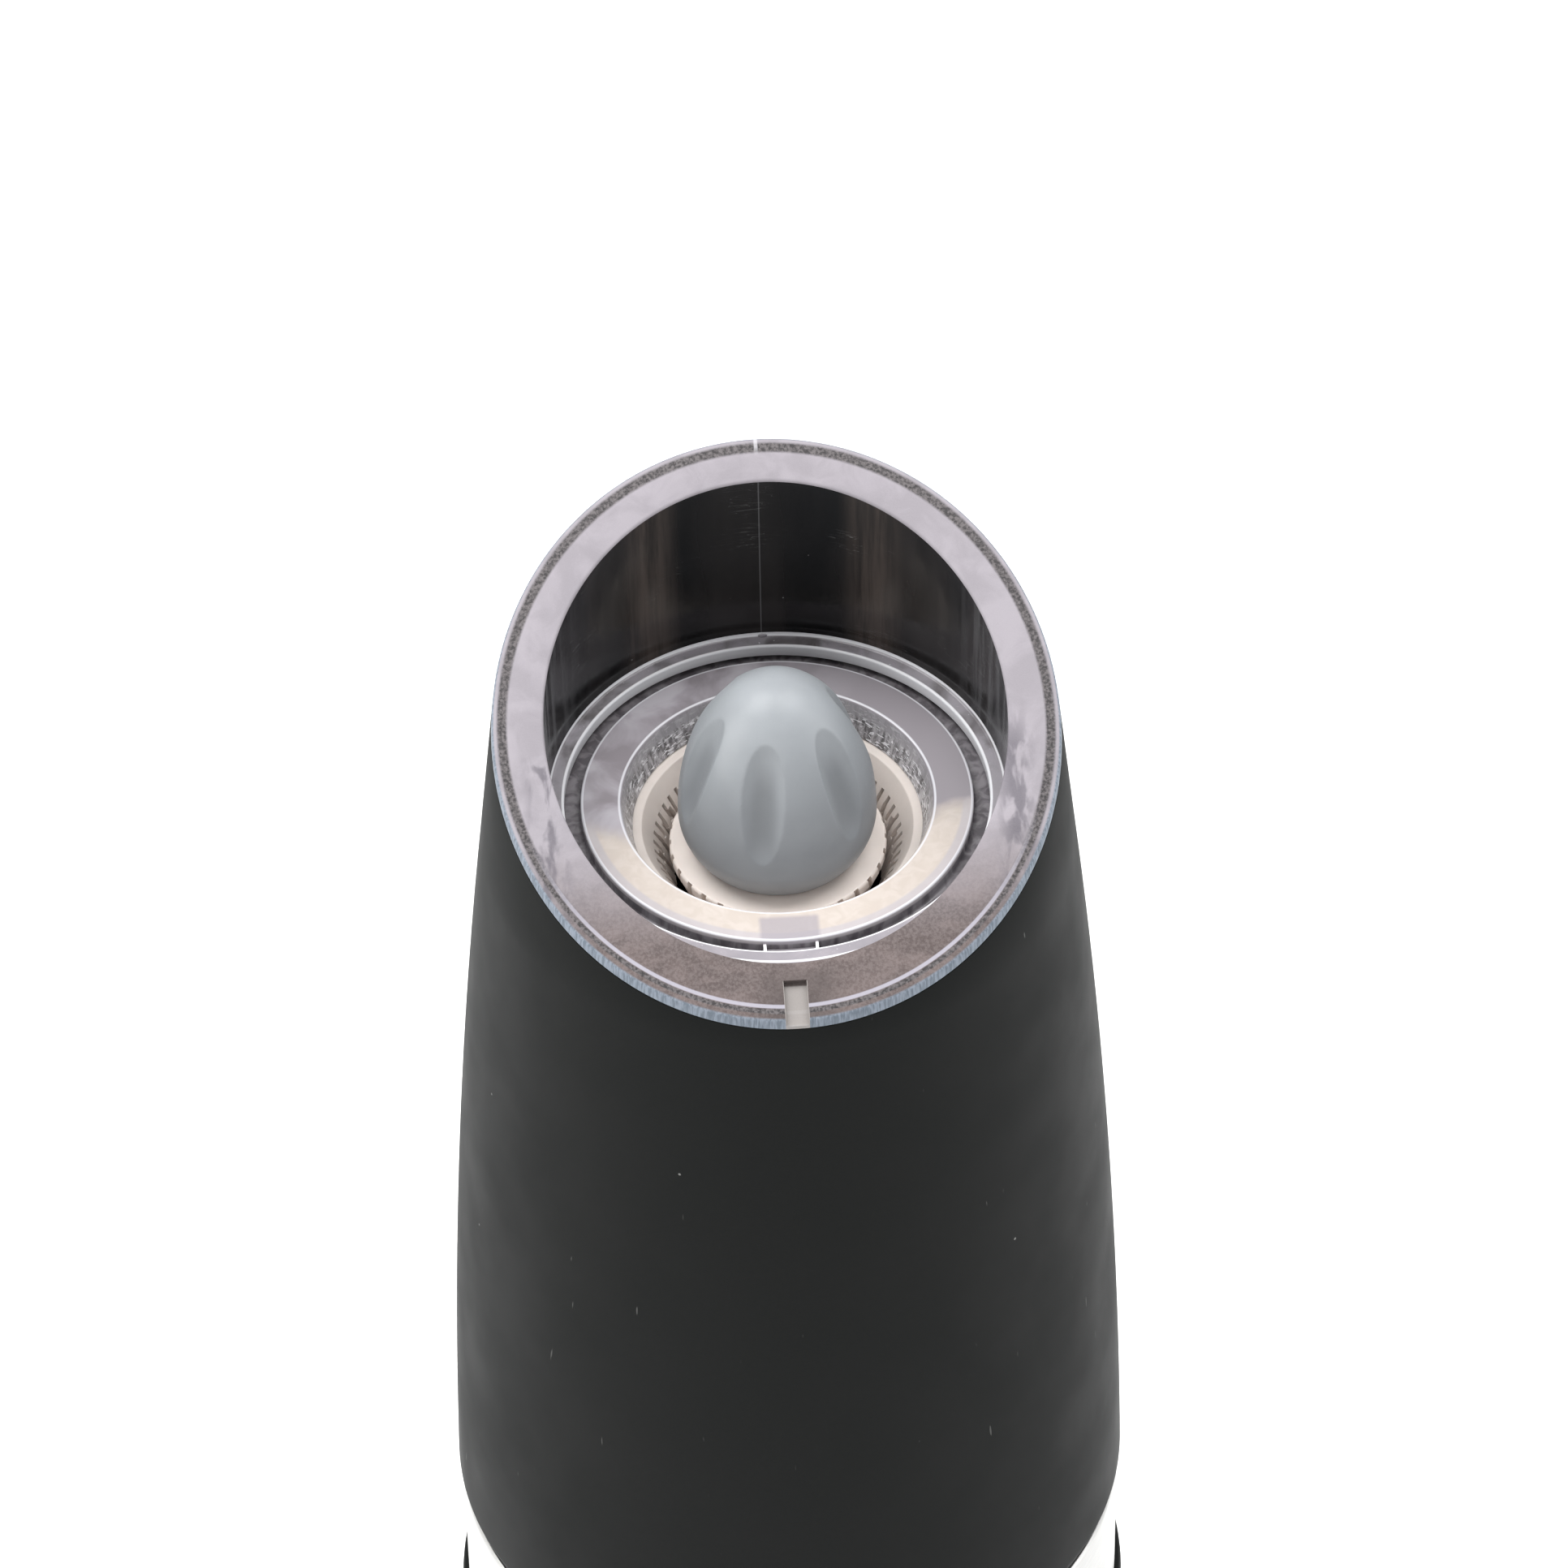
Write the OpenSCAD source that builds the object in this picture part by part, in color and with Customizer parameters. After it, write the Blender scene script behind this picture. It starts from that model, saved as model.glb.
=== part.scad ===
// Battery pepper mill that grinds when it is turned over. It stands on its base with the grinder up.
// The origin is the centre of the base on the table, +Z is up and the slanted mouth faces -Y.

/* [Outer form] */
// Height of the back of the rim above the table
mill_height = 200; // [198:1:204]
// Radius at the widest place, just above the steel band
belly_r = 29.2; // [29:0.1:30]
// Radius of the upper shell level with the middle of the rim
rim_r = 24.3; // [24.2:0.1:25]
// Radius of the housing near the table
base_r = 26.4; // [26.2:0.1:28]
// Slope of the mouth against the table, in degrees
mouth_slope = 24; // [22:0.5:26]
// Height of the joint between the upper shell and the steel band
seam_z = 97.5; // [97.5:0.5:98]
// Height of the steel band
band_h = 14; // [12:0.5:14]

/* [Mouth] */
// Radius of the round opening in the clear collar
opening_r = 20; // [19.8:0.1:20.2]
// Thickness of the collar's rim where it lies on the shell
rim_thick = 1; // [0.8:0.1:1.4]
// Depth of the clear floor below the middle of the rim
floor_depth = 9.9; // [9.6:0.1:10.4]
// Radius of the coarseness knob
knob_r = 8.6; // [8:0.1:9]
// Height of the coarseness knob
knob_h = 18.7; // [17:0.1:20]
// Number of finger flutes around the knob
knob_flutes = 6; // [5:1:10]

/* [Drive] */
// Tooth size of the planetary gears, as a module
gear_module = 0.4; // [0.39:0.01:0.4]
// Play between meshing teeth, measured around the pitch circle
gear_play = 0.1; // [0.08:0.01:0.12]
// Radial clearance of a shaft in its bearing
run_gap = 0.05; // [0.03:0.01:0.08]
// Width across the flats of the hexagonal drive shaft
hex_af = 5; // [4.8:0.1:5]

/* [Hidden] */
$fn = 96;
eps = 0.01;
far = 80;

// Colours
shell_black = [0.15, 0.16, 0.155];
steel_grey = [0.82, 0.83, 0.83];
clear_tint = [0.85, 0.84, 0.88, 0.45];
ceramic_white = [0.93, 0.89, 0.86];
knob_grey = [0.45, 0.51, 0.52];
inner_black = [0.10, 0.10, 0.11];
gear_cream = [0.90, 0.87, 0.78];
gear_blue = [0.45, 0.60, 0.78];
zinc = [0.72, 0.73, 0.75];
brass_gold = [0.80, 0.63, 0.30];
copper_red = [0.72, 0.40, 0.25];
rubber_black = [0.08, 0.08, 0.08];
board_green = [0.10, 0.38, 0.22];

// Levels of the mouth, measured down from the middle of the rim
rim_back_r = 23.2;
rim_z = mill_height - rim_back_r * tan(mouth_slope);
ledge_z = rim_z - floor_depth;
moat_z = ledge_z - 1.7;
ring_top_z = ledge_z - 0.3;
burr_top_z = ledge_z - 3.3;
disc_top_z = ledge_z - 5;
knob_z = disc_top_z + 0.1;
burr_low_z = disc_top_z - 12.5;
bridge_z = burr_low_z - 2.4;
bridge_h = 2.2;
housing_top_z = ledge_z - 1.3;

// Levels of the lower unit, measured from the table and the seam
band_z = seam_z - band_h;
spigot_top_z = seam_z + 23.5;
deck_z = seam_z - 3;
gear_base_h = 2;
case_z = seam_z + gear_base_h;
case_h = 16;
cover_z = case_z + case_h;
cover_h = 2.5;
frame_low_z = 61.5;
board_z = frame_low_z + 1;
board_h = 1.5;
motor_low_z = 67;
mouth_z = spigot_top_z + 1.5;
chamber_flange_h = 2;

// Radii of the fits between the units
bore_r = 27;
spigot_r = 26.6;
frame_bore_r = 23;
skirt_r = 28.1;
plug_r = 26.7;
ring_out_r = 17;
ring_in_r = 13.5;
burr_seat_r = 13.95;
moat_out_r = 18.4;
collar_tube_r = 21.6;
neck_out_r = 18.6;
chamber_r = 22;
chamber_out_r = 23.4;
contact_r = 24.8;
contact_x = 4.5;

// Gears: a sun, three planets and a ring in each of two equal stages
sun_teeth = 12;
planet_teeth = 24;
ring_teeth = sun_teeth + 2 * planet_teeth;
pressure_angle = 25;
planet_orbit = gear_module * (sun_teeth + planet_teeth) / 2;
pin_r = 1.25;
stage_h = 4.6;
stage_1_z = case_z + 0.5;
carrier_1_z = stage_1_z + stage_h + 0.4;
stage_2_z = carrier_1_z + 2.6;
carrier_2_z = stage_2_z + stage_h + 0.4;
plate_r = gear_module * ring_teeth / 2 - 0.95;

// Shapes of revolution -------------------------------------------------------------------------

// Radius of the upper shell at a height, an arc that is widest at the seam and straightens towards the mouth
flare_z = 176;
flare = 0.45;
arc_z = seam_z + 2;
arc_r = (pow(rim_z - arc_z, 2) + pow(belly_r - rim_r, 2)) / (2 * (belly_r - rim_r));
function upper_r(z) = belly_r - arc_r + sqrt(pow(arc_r, 2) - pow(z - arc_z, 2))
    + flare * pow(max(0, z - flare_z) / 23, 2);

// Radius of the lower housing at a height, an arc that is widest at the band
low_arc_r = (pow(band_z, 2) + pow(belly_r - base_r, 2)) / (2 * (belly_r - base_r));
function lower_r(z) = belly_r - low_arc_r + sqrt(pow(low_arc_r, 2) - pow(band_z - z, 2));

// Wall of the upper shell, which thins towards the rim
shoulder_z = mouth_z + chamber_flange_h;
function upper_wall(z) = 2.4 - 0.9 * (z - shoulder_z) / (rim_z - shoulder_z);

function lerp(a, b, t) = a + (b - a) * t;
function quarter(cr, cz, r, from, to, n = 6) =
    [for (i = [0:n]) let (a = lerp(from, to, i / n)) [cr + r * cos(a), cz + r * sin(a)]];

module ring(r_in, r_out, z0, z1) {
    translate([0, 0, z0]) difference() {
        cylinder(r = r_out, h = z1 - z0);
        translate([0, 0, -eps]) cylinder(r = r_in, h = z1 - z0 + 2 * eps);
    }
}

module disc(r, z0, z1) {
    translate([0, 0, z0]) cylinder(r = r, h = z1 - z0);
}

module around(count, first = 0) {
    for (i = [0:count - 1]) rotate(first + i * 360 / count) children();
}

module box(x, y0, y1, z0, z1) {
    translate([-x / 2, y0, z0]) cube([x, y1 - y0, z1 - z0]);
}

// Everything above the mouth's plane, moved down by drop
module above_mouth(drop = 0) {
    translate([0, 0, rim_z - drop]) rotate([mouth_slope, 0, 0]) translate([-far, -far, 0])
        cube([2 * far, 2 * far, far]);
}

// Solid inside the upper shell's outer surface, with the rolled lower edge
edge_round = 1.8;
module upper_form() {
    edge = quarter(upper_r(seam_z) - edge_round, seam_z + edge_round, edge_round, -75, 0);
    side = [for (i = [1:24]) let (z = lerp(seam_z + edge_round, mill_height + 4, i / 24)) [upper_r(z), z]];
    rotate_extrude() polygon(concat([[0, seam_z]], [[edge[0][0], seam_z]], edge, side, [[0, mill_height + 4]]));
}

module upper_hollow() {
    side = [for (i = [0:16]) let (z = lerp(shoulder_z, mill_height + 4, i / 16))
        [upper_r(z) - upper_wall(z), z]];
    rotate_extrude() polygon(concat([[0, shoulder_z]], side, [[0, mill_height + 4]]));
}

// A tube of radius r swept along points, with flat ends
function unit(v) = v / norm(v);
function tangent(p, i) = unit(p[min(i + 1, len(p) - 1)] - p[max(i - 1, 0)]);
function side_of(t) = unit(cross(t, abs(t[2]) > 0.9 ? [1, 0, 0] : [0, 0, 1]));
function frame_at(p, i) = i == 0 ? side_of(tangent(p, 0))
    : let (t = tangent(p, i), s = frame_at(p, i - 1)) unit(s - t * (s * t));
module tube_along(p, r, sides = 8) {
    count = len(p);
    rings = [for (i = [0:count - 1]) let (t = tangent(p, i), s = frame_at(p, i), u = cross(t, s))
        for (k = [0:sides - 1]) p[i] + r * (s * cos(360 * k / sides) + u * sin(360 * k / sides))];
    walls = [for (i = [0:count - 2]) for (k = [0:sides - 1]) let (n = (k + 1) % sides)
        [i * sides + k, (i + 1) * sides + k, (i + 1) * sides + n, i * sides + n]];
    first = [for (k = [0:sides - 1]) k];
    last = [for (k = [0:sides - 1]) count * sides - 1 - k];
    polyhedron(points = rings, faces = concat(walls, [first], [last]), convexity = 6);
}

// Gears ---------------------------------------------------------------------------------------

base_cos = cos(pressure_angle);
function inv_deg(a) = tan(a) * 180 / PI - a;
function half_tooth(teeth, r, play) = let (pitch_r = gear_module * teeth / 2, base = pitch_r * base_cos,
    a = acos(min(1, base / r))) 90 / teeth - play * 90 / (PI * pitch_r) + inv_deg(pressure_angle) - inv_deg(a);
function polar(r, a) = [r * cos(a), r * sin(a)];

// Outline of an external gear with a tooth centred on the X axis
module gear_outline(teeth) {
    pitch_r = gear_module * teeth / 2;
    tip = pitch_r + gear_module;
    root = pitch_r - 1.25 * gear_module;
    foot = max(root + 0.05, pitch_r * base_cos);
    radii = [for (i = [0:3]) lerp(foot, tip, i / 3)];
    polygon([for (t = [0:teeth - 1]) let (a = t * 360 / teeth, w = 180 / teeth) each concat(
        [polar(root, a - w), polar(root, a - half_tooth(teeth, foot, gear_play))],
        [for (r = radii) polar(r, a - half_tooth(teeth, r, gear_play))],
        [for (i = [0:3]) let (r = radii[3 - i]) polar(r, a + half_tooth(teeth, r, gear_play))],
        [polar(root, a + half_tooth(teeth, foot, gear_play))])]);
}

// Space inside a ring gear, with a ring tooth (a notch of this outline) centred on the X axis
module ring_space(teeth) {
    pitch_r = gear_module * teeth / 2;
    tip = pitch_r - gear_module;
    root = pitch_r + 1.25 * gear_module;
    radii = [for (i = [0:3]) lerp(tip, root, i / 3)];
    polygon([for (t = [0:teeth - 1]) let (a = (t + 0.5) * 360 / teeth) each concat(
        [for (r = radii) polar(r, a - half_tooth(teeth, max(r, pitch_r * base_cos), -gear_play))],
        [for (i = [0:3]) let (r = radii[3 - i])
            polar(r, a + half_tooth(teeth, max(r, pitch_r * base_cos), -gear_play))])]);
}

module gear(teeth, z0, z1, hole_r) {
    translate([0, 0, z0]) difference() {
        linear_extrude(z1 - z0) gear_outline(teeth);
        translate([0, 0, -eps]) cylinder(r = hole_r, h = z1 - z0 + 2 * eps, $fn = 48);
    }
}

// A planet is turned so that a gap faces the sun's tooth, and its other side meets the ring
module planet(index, z0) {
    rotate(index * 120) translate([planet_orbit, 0, 0]) rotate(180 + 180 / planet_teeth)
        gear(planet_teeth, z0, z0 + stage_h, pin_r + run_gap);
}

module planet_pins(z0, z1) {
    around(3) translate([planet_orbit, 0, z0]) cylinder(r = pin_r, h = z1 - z0, $fn = 48);
}

module screw(x, y, z, head_r, head_h, shank_r, length, up = false) {
    translate([x, y, z]) mirror([0, 0, up ? 1 : 0]) difference() {
        union() {
            cylinder(r = head_r, h = head_h, $fn = 32);
            translate([0, 0, -length]) cylinder(r = shank_r, h = length + eps, $fn = 32);
        }
        for (turn = [0, 90]) rotate(turn) translate([-head_r * 0.6, -0.2, head_h - 0.5])
            cube([head_r * 1.2, 0.4, 1]);
    }
}

// Housing, which stands on the table ------------------------------------------------------------

shell_floor_z = 0.8;
foot_in_r = 18.5;
foot_out_r = 22.5;
floor_top_z = 3.4;
socket_low_z = 57;
module lower_shell() {
    wall = 2.4;
    corner = 3;
    corner_z = shell_floor_z + corner;
    low = quarter(lower_r(corner_z) - corner, corner_z, corner, -90, 0);
    side = [for (i = [1:14]) let (z = lerp(corner_z, band_z - 0.6, i / 14)) [lower_r(z), z]];
    inner = [for (i = [0:10]) let (z = lerp(floor_top_z, socket_low_z - 1, i / 10)) [lower_r(z) - wall, z]];
    color(shell_black) difference() {
        rotate_extrude() polygon(concat([[0, shell_floor_z]], low, side,
            [[lower_r(band_z) - 0.5, band_z], [0, band_z]]));
        rotate_extrude() polygon(concat([[0, floor_top_z]], inner,
            [[plug_r + 0.2, socket_low_z], [plug_r + 0.2, band_z + 5], [0, band_z + 5]]));
        ring(foot_in_r, foot_out_r, -1, 2);
    }
}

module foot_ring() {
    color(rubber_black) difference() {
        ring(foot_in_r + 0.05, foot_out_r - 0.05, 0, 1.95);
        ring(foot_in_r + 1.2, foot_out_r - 1.2, -1, 0.4);
    }
}

// Motor unit, which pulls up out of the housing --------------------------------------------------

gear_screw_r = 16.2;
lid_screw_r = 20.4;
key_w = 4;
module motor_frame() {
    color(inner_black) difference() {
        union() {
            ring(frame_bore_r, plug_r, frame_low_z, band_z);
            ring(frame_bore_r, skirt_r, band_z, seam_z);
            ring(frame_bore_r, spigot_r, seam_z, spigot_top_z);
            ring(12.3, frame_bore_r + 1, deck_z, seam_z);
            box(key_w, -27.5, -frame_bore_r - 0.5, seam_z + 8, spigot_top_z - 1.5);
            around(3, 30) translate([lid_screw_r + 0.6, 0, spigot_top_z - 14]) cylinder(r = 2.6, h = 11.5);
        }
        ring(seal_core_r, spigot_r + 1, seal_z - 1.25, seal_z + 1.25);
        around(3, 30) translate([lid_screw_r, 0, spigot_top_z - 11]) cylinder(r = 0.9, h = 11);
        around(4, 45) translate([gear_screw_r, 0, deck_z - 1]) cylinder(r = 0.8, h = 5);
        for (side = [-1, 1]) {
            translate([side * contact_x, -contact_y, spigot_top_z - 6]) cylinder(r = 0.85, h = 7);
            translate([side * contact_x, -wire_y, deck_z - 1]) cylinder(r = 1.1, h = 5);
            translate([side * contact_x - 1, -contact_y - 0.5, spigot_top_z - 10]) cube([2, 5, 5]);
        }
        around(3, 90) translate([holder_screw_r, 0, frame_low_z - 1]) cylinder(r = 0.8, h = 8);
    }
}

seal_z = seam_z + 4.5;
seal_wire_r = 1;
seal_core_r = bore_r - run_gap - 2 * seal_wire_r;
contact_y = sqrt(pow(contact_r, 2) - pow(contact_x, 2));
wire_y = 20.6;
holder_screw_r = 24.8;

module steel_band() {
    color(steel_grey) rotate_extrude() polygon([[skirt_r, band_z + 0.15], [28.6, band_z + 0.15],
        [28.8, band_z + 0.45], [28.9, seam_z - 0.45], [28.7, seam_z - 0.15], [skirt_r, seam_z - 0.15]]);
}

module spigot_lid() {
    color(inner_black) difference() {
        disc(frame_bore_r - 0.1, spigot_top_z - 2.5, spigot_top_z);
        disc(7.2, spigot_top_z - 3, spigot_top_z + 1);
        around(3, 30) translate([lid_screw_r, 0, spigot_top_z - 3]) cylinder(r = 1.2, h = 4);
        around(3, 30) translate([lid_screw_r, 0, spigot_top_z - 1.2]) cylinder(r = 1.85, h = 2);
        ring(10, 18.4, spigot_top_z - 0.5, spigot_top_z + 1);
    }
}

module spigot_seal() {
    color(rubber_black) rotate_extrude() translate([seal_core_r + seal_wire_r, seal_z])
        circle(r = seal_wire_r, $fn = 32);
}

module chamber_seal() {
    color([0.75, 0.75, 0.74]) ring(22.05, frame_bore_r - 0.1, spigot_top_z, mouth_z);
}

module lid_screws() {
    color(zinc) around(3, 30) screw(lid_screw_r, 0, spigot_top_z - 1.2, 1.8, 1.1, 0.9, 8);
}

module contact_pins() {
    color(brass_gold) for (side = [-1, 1]) translate([side * contact_x, -contact_y, spigot_top_z - 5.5]) {
        cylinder(r = 0.8, h = mouth_z - spigot_top_z + 5);
        translate([0, 0, -1]) cylinder(r = 0.4, h = 1.1);
    }
}

module pin_wires() {
    color([0.75, 0.12, 0.10]) for (side = [-1, 1]) tube_along([[side * 6, -14, board_z + board_h],
        [side * 6, -14, 67], [side * 6.2, -16, 71], [side * contact_x, -wire_y, 76],
        [side * contact_x, -wire_y, 90], [side * contact_x, -wire_y, seam_z + 8],
        [side * contact_x, -wire_y - 0.4, spigot_top_z - 9], [side * contact_x, -contact_y + 0.4, spigot_top_z - 7.2],
        [side * contact_x, -contact_y, spigot_top_z - 6.8]], 0.55);
}

module gearbox_base() {
    color(inner_black) difference() {
        disc(17.8, seam_z, case_z);
        disc(3.4, seam_z - 1, case_z + 1);
        around(4, 45) translate([gear_screw_r, 0, seam_z - 1]) cylinder(r = 0.95, h = 4);
        around(2) translate([8.5, 0, seam_z - 1]) cylinder(r = 1.05, h = 4);
        around(2) translate([8.5, 0, seam_z + 0.8]) cylinder(r = 1.9, h = 4);
    }
}

module gearbox_case() {
    color(gear_blue) difference() {
        union() {
            disc(14.2, case_z, cover_z);
            around(4, 45) translate([gear_screw_r, 0, case_z]) cylinder(r = 2, h = case_h);
            around(4, 45) box(3, 13, gear_screw_r - 1, case_z, cover_z);
        }
        translate([0, 0, case_z - 1]) linear_extrude(case_h + 2) ring_space(ring_teeth);
        around(4, 45) translate([gear_screw_r, 0, case_z - 1]) cylinder(r = 0.95, h = case_h + 2);
    }
}

module gearbox_cover() {
    color(inner_black) difference() {
        union() {
            disc(14.2, cover_z, cover_z + cover_h);
            around(4, 45) translate([gear_screw_r, 0, cover_z]) cylinder(r = 2, h = 1.6);
            around(4, 45) box(3, 13, gear_screw_r - 1, cover_z, cover_z + 1.6);
        }
        disc(bush_r, cover_z - 1, cover_z + 5);
        around(4, 45) translate([gear_screw_r, 0, cover_z - 1]) cylinder(r = 0.95, h = 5);
    }
}

module gearbox_screws() {
    color(zinc) {
        around(4, 45) screw(gear_screw_r, 0, cover_z + 1.6, 1.7, 1.1, 0.75, cover_z + 1.6 - deck_z - 0.4);
        around(2) screw(8.5, 0, seam_z + 0.85, 1.7, 0.9, 0.85, 3.2);
    }
}

neck_r = 4.5;
bush_r = 6;
module output_bush() {
    color(brass_gold) ring(neck_r + run_gap, bush_r, cover_z, cover_z + cover_h);
}

// Motor ----------------------------------------------------------------------------------------

motor_r = 12;
motor_shaft_r = 1;
can_z = motor_low_z + 2.5;
module motor_can() {
    color(zinc) difference() {
        union() {
            disc(motor_r, can_z, seam_z - 0.1);
            disc(3.2, seam_z - 0.2, seam_z + 1.2);
        }
        disc(motor_r - 0.7, can_z - 1, seam_z - 1.6);
        disc(motor_shaft_r + run_gap, can_z, seam_z + 3);
        around(2) translate([8.5, 0, seam_z - 3]) cylinder(r = 0.85, h = 4);
        for (side = [-1, 1]) translate([side * motor_r - 1.5, -2, can_z + 8]) cube([3, 4, 6]);
    }
}

module motor_end_cap() {
    color(inner_black) difference() {
        union() {
            disc(motor_r, motor_low_z, can_z);
            disc(motor_r - 0.75, can_z, can_z + 1.5);
            disc(4, motor_low_z - 0.8, motor_low_z);
        }
        disc(motor_shaft_r + run_gap, motor_low_z, can_z + 3);
        for (side = [-1, 1]) box_at(side * 8, 0, 1.1, 2.9, motor_low_z - 1, can_z + 2);
    }
}

module box_at(x, y, w, d, z0, z1) {
    translate([x - w / 2, y - d / 2, z0]) cube([w, d, z1 - z0]);
}

module motor_magnets() {
    color([0.25, 0.25, 0.27]) intersection() {
        ring(8.4, motor_r - 0.75, can_z + 4, seam_z - 3);
        union() {
            box_at(0, 10, 18, 12, can_z, seam_z);
            box_at(0, -10, 18, 12, can_z, seam_z);
        }
    }
}

module motor_terminals() {
    color(brass_gold) for (side = [-1, 1]) box_at(side * 8, 0, 0.6, 2.4, motor_low_z - 2.2, can_z + 1.4);
}

module motor_wires() {
    for (side = [-1, 1]) color(side < 0 ? [0.1, 0.1, 0.1] : [0.75, 0.12, 0.10])
        tube_along([[side * 8.85, 0, motor_low_z - 1], [side * 10.4, 0, motor_low_z - 1.2],
            [side * 12.6, 1.5, motor_low_z - 1.2], [side * 13.4, 4, motor_low_z - 1.4],
            [side * 13.4, 5, board_z + board_h + 0.6], [side * 13.4, 5, board_z + board_h]], 0.5);
}

module motor_shaft() {
    color(steel_grey) disc(motor_shaft_r, motor_low_z + 0.2, stage_1_z + stage_h);
}

module motor_armature() {
    color(copper_red) difference() {
        union() {
            around(3) intersection() {
                ring(motor_shaft_r, 7.8, can_z + 7, seam_z - 5);
                box_at(5, 0, 10, 9.6, can_z, seam_z);
            }
            disc(2.6, can_z + 2.2, seam_z - 3.2);
        }
        disc(motor_shaft_r, can_z, seam_z);
    }
}

module motor_pinion() {
    color(brass_gold) gear(sun_teeth, stage_1_z, stage_1_z + stage_h, motor_shaft_r);
}

// Planet stages ---------------------------------------------------------------------------------

module first_carrier() {
    color(gear_cream) union() {
        disc(plate_r, carrier_1_z, carrier_1_z + 2);
        planet_pins(stage_1_z, carrier_1_z + eps);
        translate([0, 0, carrier_1_z + 2 - eps]) linear_extrude(stage_h + 0.6 + eps) gear_outline(sun_teeth);
    }
}

module first_planet_1() { color(gear_cream) planet(0, stage_1_z); }
module first_planet_2() { color(gear_cream) planet(1, stage_1_z); }
module first_planet_3() { color(gear_cream) planet(2, stage_1_z); }
module second_planet_1() { color(gear_cream) planet(0, stage_2_z); }
module second_planet_2() { color(gear_cream) planet(1, stage_2_z); }
module second_planet_3() { color(gear_cream) planet(2, stage_2_z); }

socket_z = cover_z + cover_h + 0.4;
socket_top_z = spigot_top_z + 5;
socket_floor_z = socket_z + 1.2;
hex_gap = 0.06;
module hexagon(af, z0, z1) {
    translate([0, 0, z0]) cylinder(d = af / cos(30), h = z1 - z0, $fn = 6);
}

module output_carrier() {
    color(gear_cream) difference() {
        union() {
            disc(plate_r, carrier_2_z, carrier_2_z + 2.5);
            planet_pins(stage_2_z, carrier_2_z + eps);
            disc(neck_r, carrier_2_z + 2, socket_z + eps);
            disc(6.8, socket_z, socket_top_z);
        }
        hexagon(hex_af + 2 * hex_gap, socket_floor_z, socket_top_z + 1);
        translate([0, 0, socket_top_z - 1.2]) cylinder(r1 = hex_af / 2 + hex_gap, r2 = 5, h = 1.21);
    }
}

// Circuit board and tilt switch -------------------------------------------------------------------

tilt_x = 17.4;
tilt_r = 3.1;
tilt_h = 10;
ball_r = 2;
ball_z = board_z + board_h + 1.2 + ball_r;
module circuit_board() {
    color(board_green) difference() {
        disc(frame_bore_r - 0.3, board_z, board_z + board_h);
        disc(4.4, board_z - 1, board_z + 3);
        around(2, 90) translate([18, 0, board_z - 1]) cylinder(r = 1.6, h = 4);
    }
}

module board_parts() {
    top = board_z + board_h;
    color([0.12, 0.12, 0.13]) union() {
        box_at(-14.5, 10, 4.4, 5, top, top + 1.6);
        box_at(-16, -6, 5, 4, top, top + 2.2);
        box_at(-6.5, 16.5, 3, 1.6, top, top + 0.9);
        box_at(-1.5, 17.5, 3, 1.6, top, top + 0.9);
        translate([6, 16, top]) cylinder(r = 2.4, h = 6.5, $fn = 40);
    }
}

module tilt_switch_can() {
    top = board_z + board_h;
    color(zinc) translate([tilt_x, 0, top]) difference() {
        union() {
            cylinder(r = tilt_r, h = tilt_h);
            cylinder(r = tilt_r + 0.4, h = 0.8);
        }
        translate([0, 0, 1]) cylinder(r = tilt_r - 0.5, h = tilt_h - 1.8);
    }
}

module tilt_ball() {
    color(brass_gold) translate([tilt_x, 0, ball_z]) sphere(r = ball_r);
}

// Batteries ----------------------------------------------------------------------------------------

cell_r = 5.25;
cell_len = 43.7;
cell_orbit = 11.2;
cell_z = 10.4;
holder_z = 6.4;
module battery_holder() {
    plate_z = frame_low_z - 3;
    color(inner_black) difference() {
        union() {
            disc(18.2, holder_z, holder_z + 2.4);
            disc(26.4, plate_z, frame_low_z);
            disc(5.2, holder_z + 1, plate_z + 1);
            around(6, 30) box(1.4, 4.6, 17.6, holder_z + 1, plate_z + 1);
        }
        around(6) translate([0, cell_orbit, cell_z - 1.7]) cylinder(r = cell_r + 0.15, h = cell_len + 4.4);
        around(3, 90) translate([holder_screw_r, 0, plate_z - 1]) cylinder(r = 1.2, h = 5);
        disc(3.6, holder_z - 1, frame_low_z + 1);
        around(2, 90) translate([13.4, 0, plate_z - 1]) cylinder(r = 1, h = 5);
    }
}

module battery_cells() {
    color([0.30, 0.36, 0.42]) for (i = [0:5]) rotate(i * 60) translate([0, cell_orbit, cell_z])
        if (i % 2 == 0) battery_cell();
        else translate([0, 0, cell_len + 0.8]) mirror([0, 0, 1]) battery_cell();
}

module battery_cell() {
    cylinder(r = cell_r, h = cell_len);
    translate([0, 0, cell_len - eps]) cylinder(r = 1.9, h = 0.8);
}

// A flat spring plate at each end of each cell
module battery_contacts() {
    top = cell_z + cell_len + 0.8;
    color(brass_gold) around(6) translate([0, cell_orbit, 0]) {
        translate([0, 0, cell_z - 1.5]) cylinder(r = 3.6, h = 0.4);
        translate([0, 0, cell_z - 1.2]) cylinder(r1 = 2.6, r2 = 1.4, h = 1.15);
        translate([0, 0, top + 0.1]) cylinder(r = 3.6, h = 0.4);
    }
}

module holder_screws() {
    color(zinc) around(3, 90) screw(holder_screw_r, 0, frame_low_z - 3, 1.15, 1, 0.75, 6, up = true);
}

// Head, which pulls up off the motor unit ----------------------------------------------------------

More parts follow.
